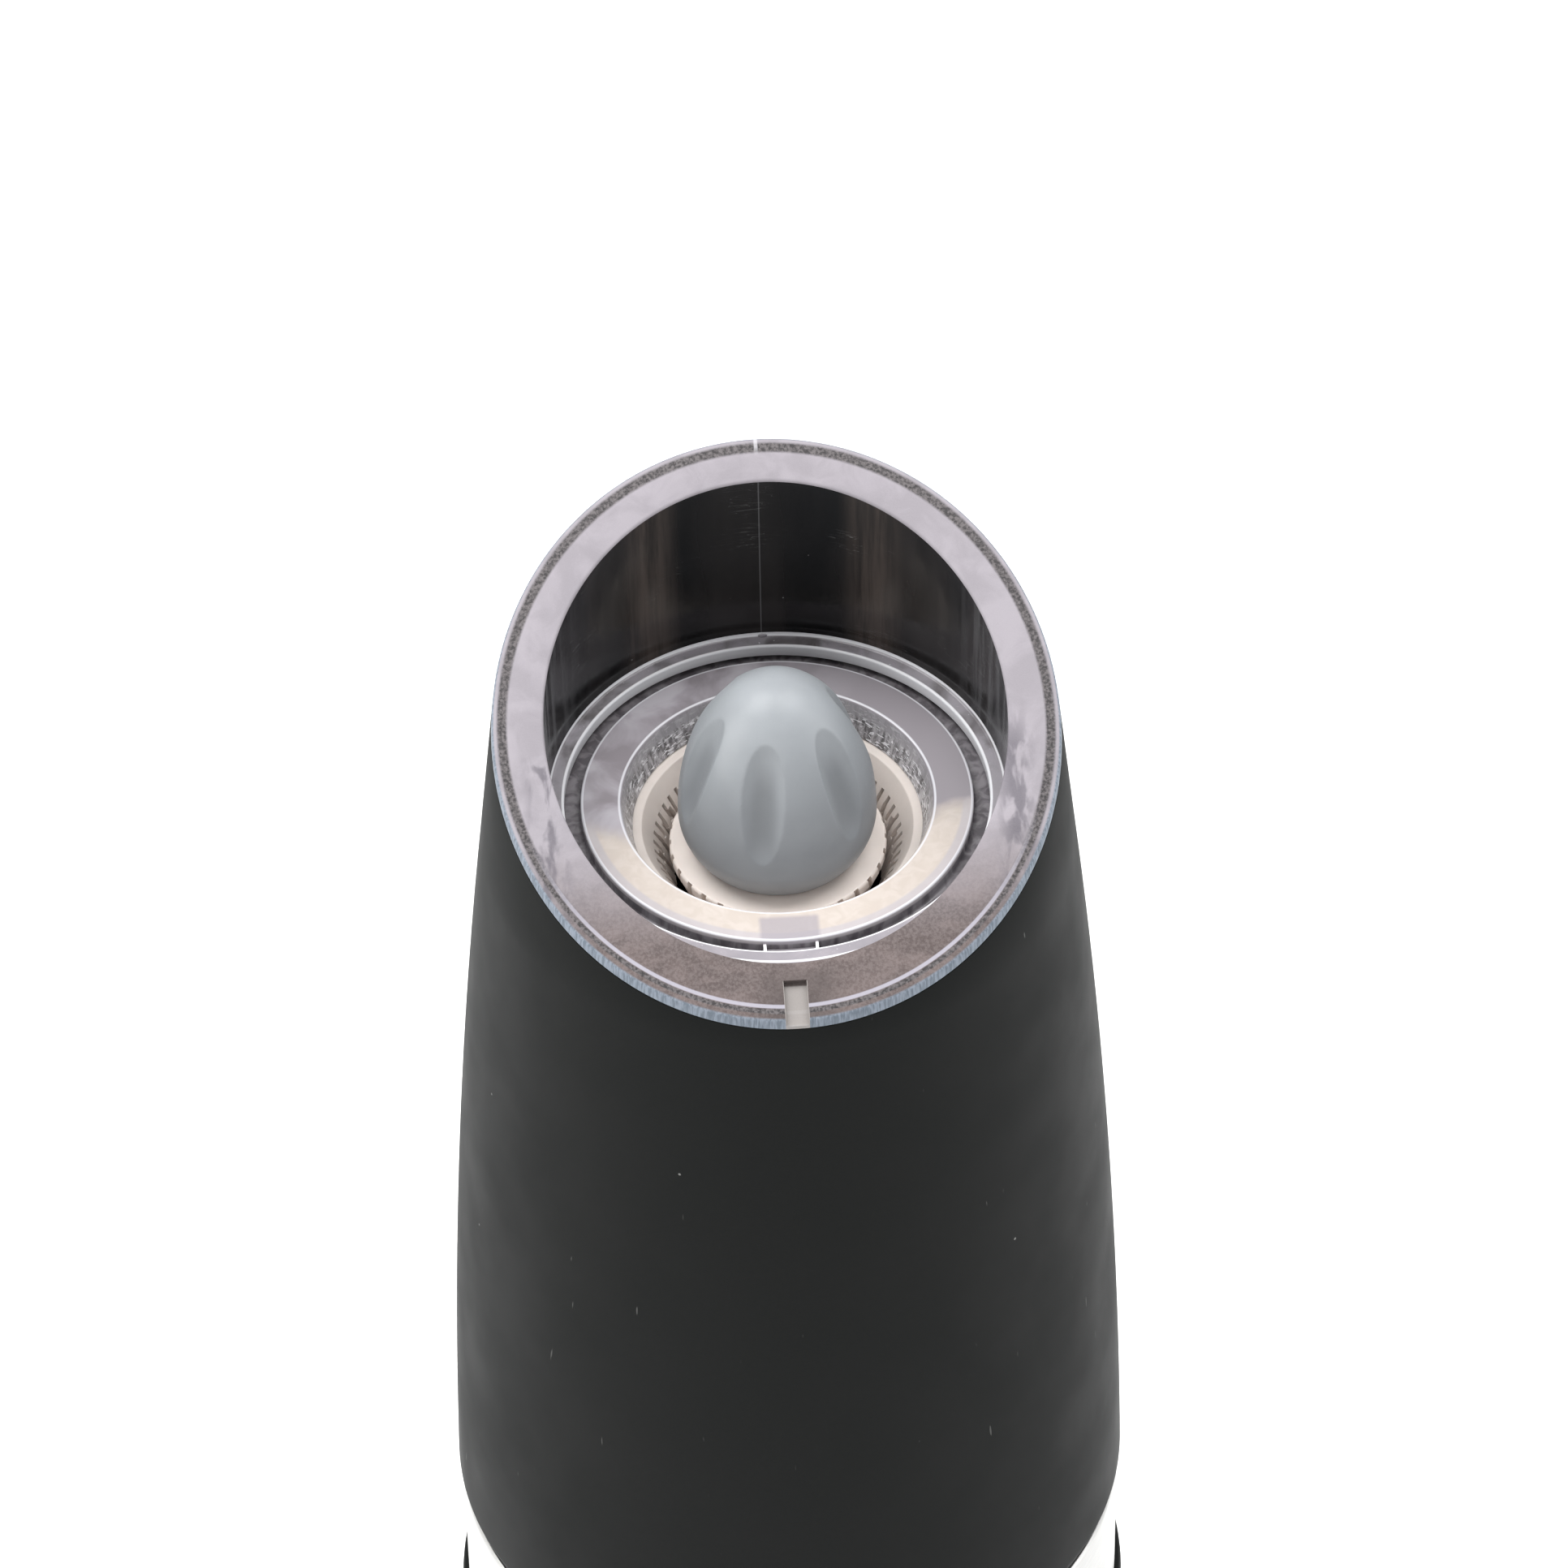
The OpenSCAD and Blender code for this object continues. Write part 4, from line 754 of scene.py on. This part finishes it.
class MILL_OT_shell(Build):
    """Build the upper shell with its slanted mouth, rolled lower edge and key groove"""

    bl_idname = "mill.shell"
    bl_label = "Upper Shell"

    def build(self, sizes, colours):
        low, roll = SHELL_LOW.z, 1.8 * MM
        edge = quarter(shell_radius(sizes, low) - roll, low + roll, roll, -86, 0, 10)
        rows = [low + roll + (175 * MM - low - roll) * i / 40 for i in range(1, 41)] + [206 * MM]
        outside = turned("head_shell", edge + [(shell_radius(sizes, z), z) for z in rows], sizes.steps, closed=False)

        def wall(z):
            return (2.4 - 0.9 * (z / MM - 124.5) / 65.17) * MM

        bore, shoulder = 27 * MM, 124.5 * MM
        rows = [shoulder + (175 * MM - shoulder) * i / 8 for i in range(9)] + [206 * MM]
        inner = [(edge[0][0], edge[0][1]), (bore + 0.3 * MM, low), (bore, low + 0.3 * MM), (bore, shoulder)]
        inner += [(shell_radius(sizes, z) - wall(z), z) for z in rows]
        inside = turned("head_shell_inside", inner, sizes.steps, closed=False)
        trim(outside, sizes, sizes.rim_thick)
        trim(inside, sizes, sizes.rim_thick)
        clear_selection()
        inside.select_set(True)
        outside.select_set(True)
        bpy.context.view_layer.objects.active = outside
        bpy.ops.object.join()
        edit(outside)
        bpy.ops.mesh.select_all(action="SELECT")
        bpy.ops.mesh.remove_doubles(threshold=2e-6)
        close_mouth(sizes, sizes.rim_thick)
        bpy.ops.mesh.select_all(action="SELECT")
        bpy.ops.mesh.normals_make_consistent(inside=False)
        pick("EDGE", lambda e: on_plane(sizes, sizes.rim_thick, e) and hypot(*e.verts[0].co.xy) > 22.9 * MM
             and hypot(*e.verts[1].co.xy) > 22.9 * MM and abs(e.calc_face_angle(0)) > 1)
        bpy.ops.mesh.bevel(offset=0.12 * MM, segments=2, affect="EDGES")
        done()
        combine(outside, block((-2.2 * MM, -27.8 * MM, low - MM), (2.2 * MM, -25.5 * MM, 124 * MM)))
        finish_piece(outside, soft_touch(colours), "head", "black_soft_touch", "upper_shell")


class MILL_OT_collar(Build):
    """Build the clear collar: frosted rim, glossy cup wall, polished step, key notch and gate mark"""

    bl_idname = "mill.collar"
    bl_label = "Clear Collar"

    def build(self, sizes, colours):
        ledge, low, high = sizes.ledge_z, sizes.ledge_z - 1.2 * MM, 206 * MM
        r0 = sizes.opening_r
        r1 = r0 + 0.5 * MM * (high - ledge) / (24 * MM)
        foot = rounded([(r1, high), (r0, ledge), (18.4 * MM, ledge), (18.4 * MM, low), (21.6 * MM, low)],
                       [0, 0.35 * MM, 0.18 * MM, 0.12 * MM, 0])
        foot[0], foot[-1] = (r1, high), (21.6 * MM, low)
        cup = turned("collar", foot, sizes.steps, closed=False)
        tube = turned("collar_tube", [(21.6 * MM, low), (21.6 * MM, high)], sizes.steps, closed=False)
        lip = turned("collar_lip", [(shell_radius(sizes, z), z) for z in (175.5 * MM, high)], sizes.steps, closed=False)
        for v in cup.data.vertices:
            if hypot(*v.co.xy) > 19 * MM and v.co.z > ledge - 0.4 * MM and hypot(*v.co.xy) < 21 * MM:
                front = (1 - v.co.y / (20 * MM)) / 2
                rise = min(1, max(0, (v.co.z - ledge) / (20 * MM)))
                v.co.y -= (0.75 * front + 0.3 * rise * (1 - front)) * MM
        trim(cup, sizes, 0)
        trim(tube, sizes, sizes.rim_thick)
        trim(lip, sizes, sizes.rim_thick, keep_low=False)
        trim(lip, sizes, 0)
        clear_selection()
        for part in (cup, tube, lip):
            part.select_set(True)
        bpy.context.view_layer.objects.active = cup
        bpy.ops.object.join()
        edit(cup)
        bpy.ops.mesh.select_all(action="SELECT")
        bpy.ops.mesh.remove_doubles(threshold=2e-6)
        for drop in (0, sizes.rim_thick):
            close_mouth(sizes, drop)
        bpy.ops.mesh.select_all(action="SELECT")
        bpy.ops.mesh.normals_make_consistent(inside=False)
        pick("EDGE", lambda e: on_plane(sizes, 0, e) and abs(e.calc_face_angle(0)) > 0.7)
        bpy.ops.mesh.bevel(offset=sizes.edge, segments=3, affect="EDGES")
        pick("EDGE", lambda e: on_plane(sizes, sizes.rim_thick, e) and abs(e.calc_face_angle(0)) > 0.7
             and hypot(*e.verts[0].co.xy) > 22.5 * MM)
        bpy.ops.mesh.bevel(offset=0.1 * MM, segments=2, affect="EDGES")
        done()
        notch = block((-1 * MM, -32 * MM, -0.6 * MM), (1 * MM, -24.2 * MM, 2 * MM))
        notch.data.transform(Matrix.Translation((0, 0, sizes.rim_z)) @ Matrix.Rotation(sizes.slope, 4, "X"))
        combine(cup, notch)
        clear_selection()
        bpy.ops.mesh.primitive_uv_sphere_add(segments=24, ring_count=12, radius=0.42 * MM,
                                             location=(0.1 * MM, r0 - 0.12 * MM, ledge + 0.12 * MM))
        gate = bpy.context.object
        edit(gate)
        bpy.ops.mesh.select_all(action="SELECT")
        bpy.ops.transform.resize(value=(1, 0.5, 0.5))
        done()
        bpy.ops.object.transform_apply(location=True)
        combine(cup, gate, "UNION")
        cup.data.materials.clear()
        for made in (frosted_rim(colours, sizes), cup_wall(sizes), clear_step(sizes)):
            cup.data.materials.append(made)
        for face in cup.data.polygons:
            middle, r = face.center, hypot(*face.center.xy)
            on_wall = r < r0 + 1.3 * MM and above(sizes, 0, middle) < -0.25 * MM
            if r > r0 + 1.3 * MM and above(sizes, sizes.rim_thick, middle) < -1e-5:
                face.material_index = 2
            elif on_wall and middle.z > ledge + 0.4 * MM:
                face.material_index = 1
            elif on_wall:
                face.material_index = 2
            else:
                face.material_index = 0
        finish_piece(cup, None, "head", "clear_acrylic", "clear_collar")


class MILL_OT_holder(Build):
    """Build the clear ring that holds the ceramic burr, with the lamp's slot and two ribs in the moat"""

    bl_idname = "mill.holder"
    bl_label = "Burr Holder"

    def build(self, sizes, colours):
        top, low = HOLDER_HIGH.z, HOLDER_LOW.z
        moat, web, seat = 178.07 * MM, 176.87 * MM, 176.47 * MM
        corners = [(13.5 * MM, top), (12.5 * MM, seat + 0.03 * MM), (13.95 * MM, seat + 0.03 * MM), (13.95 * MM, low), (17 * MM, low),
                   (17 * MM, web), (20.9 * MM, web), (20.9 * MM, moat), (17 * MM, moat), (17 * MM, top)]
        profile = rounded(corners, [0.3 * MM, 0.1 * MM, 0, 0, 0.1 * MM, 0, 0.1 * MM, 0.1 * MM, 0.25 * MM, 0.22 * MM])
        ring = turned("holder_ring", profile, sizes.steps)
        combine(ring, block((-2.45 * MM, -25 * MM, CASE_LOW.z - 0.01 * MM), (2.45 * MM, -14.3 * MM, CASE_HIGH.z + 0.02 * MM)))
        rib = block((-0.13 * MM, -18.3 * MM, moat - 0.1 * MM), (0.13 * MM, -16.8 * MM, top - 0.35 * MM))
        other = rib.copy()
        other.data = rib.data.copy()
        bpy.context.collection.objects.link(other)
        rib.data.transform(Matrix.Translation((2.25 * MM, 0, 0)))
        other.data.transform(Matrix.Translation((-2.25 * MM, 0, 0)))
        combine(ring, rib, "UNION")
        combine(ring, other, "UNION")
        finish_piece(ring, milky_ring(sizes, top), "head", "clear_acrylic", "burr_holder")


class MILL_OT_lamp(Build):
    """Build the small domed lamp on its two legs"""

    bl_idname = "mill.lamp"
    bl_label = "Lamp"

    def build(self, sizes, colours):
        y, r = -16.2 * MM, 1.5 * MM
        low, top = LAMP_LOW.z, LAMP_HIGH.z
        base = low + 3.5 * MM
        dome = quarter(0, top - r, r, 90, 0, 10)
        dome[0] = (0, top)
        profile = dome + [(r, base + 0.8 * MM), (r + 0.15 * MM, base + 0.8 * MM), (r + 0.15 * MM, base), (0, base)]
        parts = [turned("lamp_dome", profile, 64)]
        for side in (-1, 1):
            leg = turned("leg", [(0, low), (0.22 * MM, low), (0.25 * MM, low + 0.1 * MM), (0.25 * MM, base + 0.1 * MM),
                                 (0, base + 0.1 * MM)], 16)
            leg.data.transform(Matrix.Translation((side * 0.8 * MM, 0, 0)))
            parts.append(leg)
        clear_selection()
        for part in parts:
            part.select_set(True)
        lamp = bpy.context.view_layer.objects.active = parts[0]
        bpy.ops.object.join()
        lamp.data.transform(Matrix.Translation((0, y, 0)))
        glow = clear_glass("lamp_epoxy", linear(196, 192, 200), 0.05, haze=0.75)
        finish_piece(lamp, glow.material, "head", "lamp_clear", "lamp")


class MILL_OT_outer_burr(Build):
    """Build the outer ceramic burr with its coarse and fine teeth"""

    bl_idname = "mill.outer_burr"
    bl_label = "Outer Burr"

    def build(self, sizes, colours):
        low, top = OUTER_LOW.z, OUTER_HIGH.z
        corners = [(12.7 * MM, low), (8.9 * MM, 170.77 * MM), (10.1 * MM, 173.87 * MM), (11.75 * MM, top),
                   (OUTER_HIGH.x, top), (OUTER_HIGH.x, low)]
        profile = rounded(corners, [0.1 * MM, 0, 0, 0.2 * MM, 0.25 * MM, 0.1 * MM])
        burr = turned("outer_burr_ring", profile, 144)
        cutters = []
        for middle, size, turns, count, first in (
            ((9.5, 0, 172.37), (0.9, 0.55, 4.2), (-10, 21, 0), 36, 0),
            ((10.35, 0, 174.05), (0.6, 0.42, 1.9), (0, 32, 0), 60, 4),
        ):
            half = Vector(size) * MM / 2
            tool = block(-half, half)
            spin = Matrix.Rotation(radians(turns[1]), 4, "Y") @ Matrix.Rotation(radians(turns[0]), 4, "X")
            tool.data.transform(Matrix.Translation(Vector(middle) * MM) @ spin)
            cutters.append(copies_around(tool, count, radians(first)))
        for tool in cutters:
            combine(burr, tool)
        # the outer burr's funnel is painted darker (0.74) as painted shade
        finish_piece(burr, ceramic(colours, "outer_ceramic_painted_shade", 0.74), "head", "white_ceramic", "outer_burr", angle=28)


class MILL_OT_inner_burr(Build):
    """Build the inner ceramic burr with its teeth and rounded top edge"""

    bl_idname = "mill.inner_burr"
    bl_label = "Inner Burr"

    def build(self, sizes, colours):
        low, top, r = INNER_LOW.z, INNER_HIGH.z, INNER_HIGH.x
        corners = [(4 * MM, low), (5.4 * MM, low), (8.2 * MM, top - 4 * MM), (r, top - 0.9 * MM), (r, top), (4 * MM, top)]
        profile = rounded(corners, [0, 0.15 * MM, 0, 0.1 * MM, 0.3 * MM, 0])
        burr = turned("inner_burr_cone", profile, 144)
        half = Vector((0.9, 0.55, 5)) * MM / 2
        tool = block(-half, half)
        spin = Matrix.Rotation(radians(21), 4, "Y") @ Matrix.Rotation(radians(10), 4, "X")
        tool.data.transform(Matrix.Translation((8.85 * MM, 0, top - 2.3 * MM)) @ spin)
        combine(burr, copies_around(tool, 32))
        # the inner burr's disc is painted brighter (1.06) as painted light
        finish_piece(burr, ceramic(colours, "inner_ceramic_painted_light", 1.06), "burr", "white_ceramic", "inner_burr", angle=28)


class MILL_OT_knob(Build):
    """Build the egg-shaped coarseness knob with its finger flutes"""

    bl_idname = "mill.knob"
    bl_label = "Coarseness Knob"

    def build(self, sizes, colours):
        low, tall, r = KNOB_LOW.z, KNOB_HIGH.z - KNOB_LOW.z, sizes.knob_r
        waist, under, over = 3.9 * MM, 6.8 * MM, tall - 3.9 * MM

        def egg(h):
            return r * sqrt(max(0, 1 - ((h - waist) / (under if h < waist else over)) ** 2))

        side = [(egg(h), h) for h in (0.35 * MM + (waist - 0.35 * MM) * i / 10 for i in range(11))]
        side += [(egg(h), h) for h in (waist + over * sin(pi / 2 * i / 44) for i in range(1, 45))]
        side[-1] = (0, tall)
        foot = [(0, 0.02 * MM), (side[0][0] - 0.5 * MM, 0.02 * MM), (side[0][0] - 0.16 * MM, 0.1 * MM)]
        knob = turned("knob", [(a, b + low) for a, b in foot + side], 160)
        h0, h1, size = 5.1 * MM, 16.2 * MM, 2.9 * MM
        lean = atan2(egg(h0) - egg(h1), h1 - h0)
        clear_selection()
        bpy.ops.mesh.primitive_cylinder_add(vertices=72, radius=size, depth=30 * MM)
        tool = bpy.context.object
        tool.data.transform(Matrix.Translation(Vector(((egg(h0) + egg(h1)) / 2, 0, (h0 + h1) / 2 + low))
                                               + size * Vector((cos(lean), 0, sin(lean))))
                            @ Matrix.Rotation(-lean, 4, "Y"))
        first = radians(257)
        combine(knob, copies_around(tool, sizes.knob_flutes, first))
        apply_modifier(knob, "REMESH", mode="VOXEL", voxel_size=0.145 * MM, use_smooth_shade=True)
        apply_modifier(knob, "SMOOTH", factor=0.5, iterations=7)
        finish_piece(knob, knob_plastic(colours, sizes.knob_flutes, first), "knob", "knob_grey", "coarseness_knob", angle=60)


class MILL_OT_inside(Build):
    """Give every piece that keeps its own shape its finish"""

    bl_idname = "mill.inside"
    bl_label = "Inside Finishes"

    def build(self, sizes, colours):
        nylon = moulded("black_nylon", (0.018, 0.018, 0.019), 0.5, spread=0.2, Specular_IOR_Level=0.4)
        rubber = moulded("seal_rubber", (0.02, 0.02, 0.02), 0.65, spread=0.15)
        silicone = moulded("clear_silicone", (0.62, 0.62, 0.60), 0.45, Transmission_Weight=0.35, IOR=1.41)
        steel = turned_metal("motor_steel", (0.60, 0.61, 0.63), 0.34, stretch=(1, 1, 24), size=0.12 * MM)
        zinc = turned_metal("zinc_screw", (0.63, 0.64, 0.66), 0.3, size=0.08 * MM)
        brass = turned_metal("brass", (0.76, 0.57, 0.24), 0.3, size=0.08 * MM)
        nickel = turned_metal("nickel", (0.70, 0.68, 0.62), 0.26, size=0.09 * MM)
        shaft = turned_metal("shaft_steel", (0.64, 0.65, 0.66), 0.24, stretch=(1, 1, 30), size=0.08 * MM)
        red = moulded("red_wire", (0.52, 0.03, 0.02), 0.4, spread=0.08)
        white = moulded("white_wire", (0.75, 0.75, 0.72), 0.42, spread=0.06)
        blue = moulded("gear_blue", (0.14, 0.27, 0.46), 0.42, spread=0.1)
        cream = moulded("gear_cream", (0.78, 0.73, 0.58), 0.42, spread=0.05)
        magnet = turned_metal("magnet", (0.12, 0.12, 0.13), 0.45, spread=0.2)
        magnet.set("Metallic", 0.4)
        board = moulded("board_green", (0.015, 0.12, 0.045), 0.35, spread=0.15, Coat_Weight=0.4)
        tracks = board.line(board.grain(2.4 * MM, stretch=(3, 1, 1), detail=0), 0.5, 0.012, 0.008)
        board.set("Base Color", board.mix(tracks, board.skin.inputs["Base Color"].links[0].from_socket, (0.03, 0.22, 0.09)))
        parts = moulded("board_parts", (0.025, 0.025, 0.027), 0.45, spread=0.25)
        copper = turned_metal("armature", (0.66, 0.30, 0.16), 0.33, stretch=(1, 1, 8), size=0.16 * MM, spread=0.3)
        smoked = clear_glass("smoked_acrylic", (0.30, 0.30, 0.32), 0.06)
        case = clear_glass("lamp_case", linear(186, 180, 186), 0.14, haze=0.8)
        sleeve = moulded("cell_sleeve", (0.10, 0.14, 0.19), 0.3, spread=0.12, Metallic=0.5, Coat_Weight=0.5)
        z = sleeve.axes()[2]
        ends = sleeve.math("MAXIMUM", sleeve.fade(z, 12.2 * MM, 11.8 * MM), sleeve.fade(z, 52.6 * MM, 53.0 * MM))
        sleeve.set("Base Color", sleeve.mix(ends, sleeve.skin.inputs["Base Color"].links[0].from_socket, (0.62, 0.61, 0.58)))
        given = {
            nylon: "motor_frame spigot_lid gearbox_base gearbox_cover motor_end_cap battery_holder shaft_bridge burr_core",
            rubber: "spigot_seal", silicone: "chamber_seal",
            zinc: "lid_screws gearbox_screws holder_screws chamber_screws shaft_clip",
            steel: "motor_can tilt_switch_can motor_shaft", shaft: "drive_shaft burr_spring",
            brass: "contact_pins output_bush motor_terminals tilt_ball motor_pinion contact_pads knob_nut",
            nickel: "battery_contacts", red: "pin_wires motor_wires", white: "lamp_wires", blue: "gearbox_case",
            cream: "first_carrier first_planet_1 first_planet_2 first_planet_3 output_carrier "
                   "second_planet_1 second_planet_2 second_planet_3",
            magnet: "motor_magnets", board: "circuit_board", parts: "board_parts", copper: "motor_armature",
            smoked: "spice_chamber", case: "lamp_housing", sleeve: "battery_cells",
        }
        for finish, names in given.items():
            for name in names.split():
                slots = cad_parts[name].material_slots
                if not slots:
                    raise RuntimeError(name + " has no material slot")
                for place in slots:
                    place.material = finish.material


# Studio ------------------------------------------------------------------------------------------


class MILL_OT_studio(Build):
    """Build the pale floor, the soft lights and the camera"""

    bl_idname = "mill.studio"
    bl_label = "Studio"

    def light(self, name, place, size, power, tint=(1, 1, 1), target=(0, 0, 0.15)):
        clear_selection()
        bpy.ops.object.light_add(type="AREA", location=place)
        lamp = bpy.context.object
        lamp.name = name
        lamp.data.shape = "RECTANGLE"
        lamp.data.size, lamp.data.size_y = size
        lamp.data.energy = power
        lamp.data.color = tint
        lamp.rotation_euler = (Vector(target) - Vector(place)).to_track_quat("-Z", "Y").to_euler()
        lamp.visible_camera = False

    def build(self, sizes, colours):
        scene = bpy.context.scene
        clear_selection()
        bpy.ops.mesh.primitive_plane_add(size=14)
        floor = bpy.context.object
        floor.name = "studio_floor"
        f = Finish("studio_floor", tuple(colours.floor), 0.85, Specular_IOR_Level=0.1)
        paper = f.grain(60 * MM, detail=3)
        f.tones(paper, shade(tuple(colours.floor), 0.985), tuple(colours.floor))
        f.bump(f.grain(0.8 * MM, detail=2), 0.01 * MM)
        floor.data.materials.append(f.material)
        world = bpy.data.worlds.new("studio_air")
        world.use_nodes = True
        air = next(n for n in world.node_tree.nodes if n.type == "BACKGROUND")
        air.inputs["Color"].default_value = (1, 1, 1, 1)
        air.inputs["Strength"].default_value = 0.57
        scene.world = world
        self.light("overhead_left", (-0.5, 0.3, 1.35), (0.75, 0.9), 15)
        self.light("overhead_right", (0.5, 0.25, 1.35), (0.7, 0.9), 10)
        self.light("side_left", (-1.4, -0.2, 0.6), (0.9, 1.2), 11, tint=(1, 0.985, 0.96))
        self.light("side_right", (1.4, -0.1, 0.6), (0.7, 1.2), 6)
        self.light("front", (-0.3, -1.7, 1.0), (1.0, 0.8), 8)
        scene.view_settings.view_transform = "Standard"
        scene.view_settings.look = "None"
        tall, turn, roll = radians(45.5), radians(3.2), radians(1.1)
        back = Vector((-sin(turn) * cos(tall), -cos(turn) * cos(tall), sin(tall)))
        right = Vector((0, 0, 1)).cross(back).normalized()
        up = back.cross(right)
        aim = Vector((0, 0, 181.4 * MM)) + 0.62 * MM * right
        right, up = right * cos(roll) - up * sin(roll), up * cos(roll) + right * sin(roll)
        bpy.ops.object.camera_add(location=aim + back * 2.5)
        camera = bpy.context.object
        camera.name = "studio_camera"
        camera.data.lens, camera.data.sensor_width = 665, 36
        camera.rotation_euler = Matrix((right, up, back)).transposed().to_euler()
        camera.data.clip_start, camera.data.clip_end = 0.1, 50
        scene.camera = camera


STEPS = (
    MILL_OT_housing, MILL_OT_foot, MILL_OT_band, MILL_OT_shell, MILL_OT_collar, MILL_OT_holder, MILL_OT_lamp,
    MILL_OT_outer_burr, MILL_OT_inner_burr, MILL_OT_knob, MILL_OT_inside, MILL_OT_studio,
)


class MILL_PT_panel(Panel):
    """Lists the mill's pieces and the studio."""

    bl_idname = "MILL_PT_panel"
    bl_label = "Pepper Mill"
    bl_space_type = "VIEW_3D"
    bl_region_type = "UI"
    bl_category = "Mill"

    def draw(self, context):
        for group in (context.scene.mill_sizes, context.scene.mill_colours):
            box = self.layout.box()
            for key in group.__annotations__:
                box.prop(group, key)
        column = self.layout.column(align=True)
        for step in STEPS:
            column.operator(step.bl_idname)


CLASSES = (MillSizes, MillColours, *STEPS, MILL_PT_panel)


def register():
    for made in CLASSES:
        bpy.utils.register_class(made)
    bpy.types.Scene.mill_sizes = PointerProperty(type=MillSizes)
    bpy.types.Scene.mill_colours = PointerProperty(type=MillColours)


def unregister():
    del bpy.types.Scene.mill_sizes
    del bpy.types.Scene.mill_colours
    for made in reversed(CLASSES):
        bpy.utils.unregister_class(made)


def main():
    register()
    for step in STEPS:
        group, name = step.bl_idname.split(".")
        getattr(getattr(bpy.ops, group), name)()


if __name__ == "__main__":
    main()
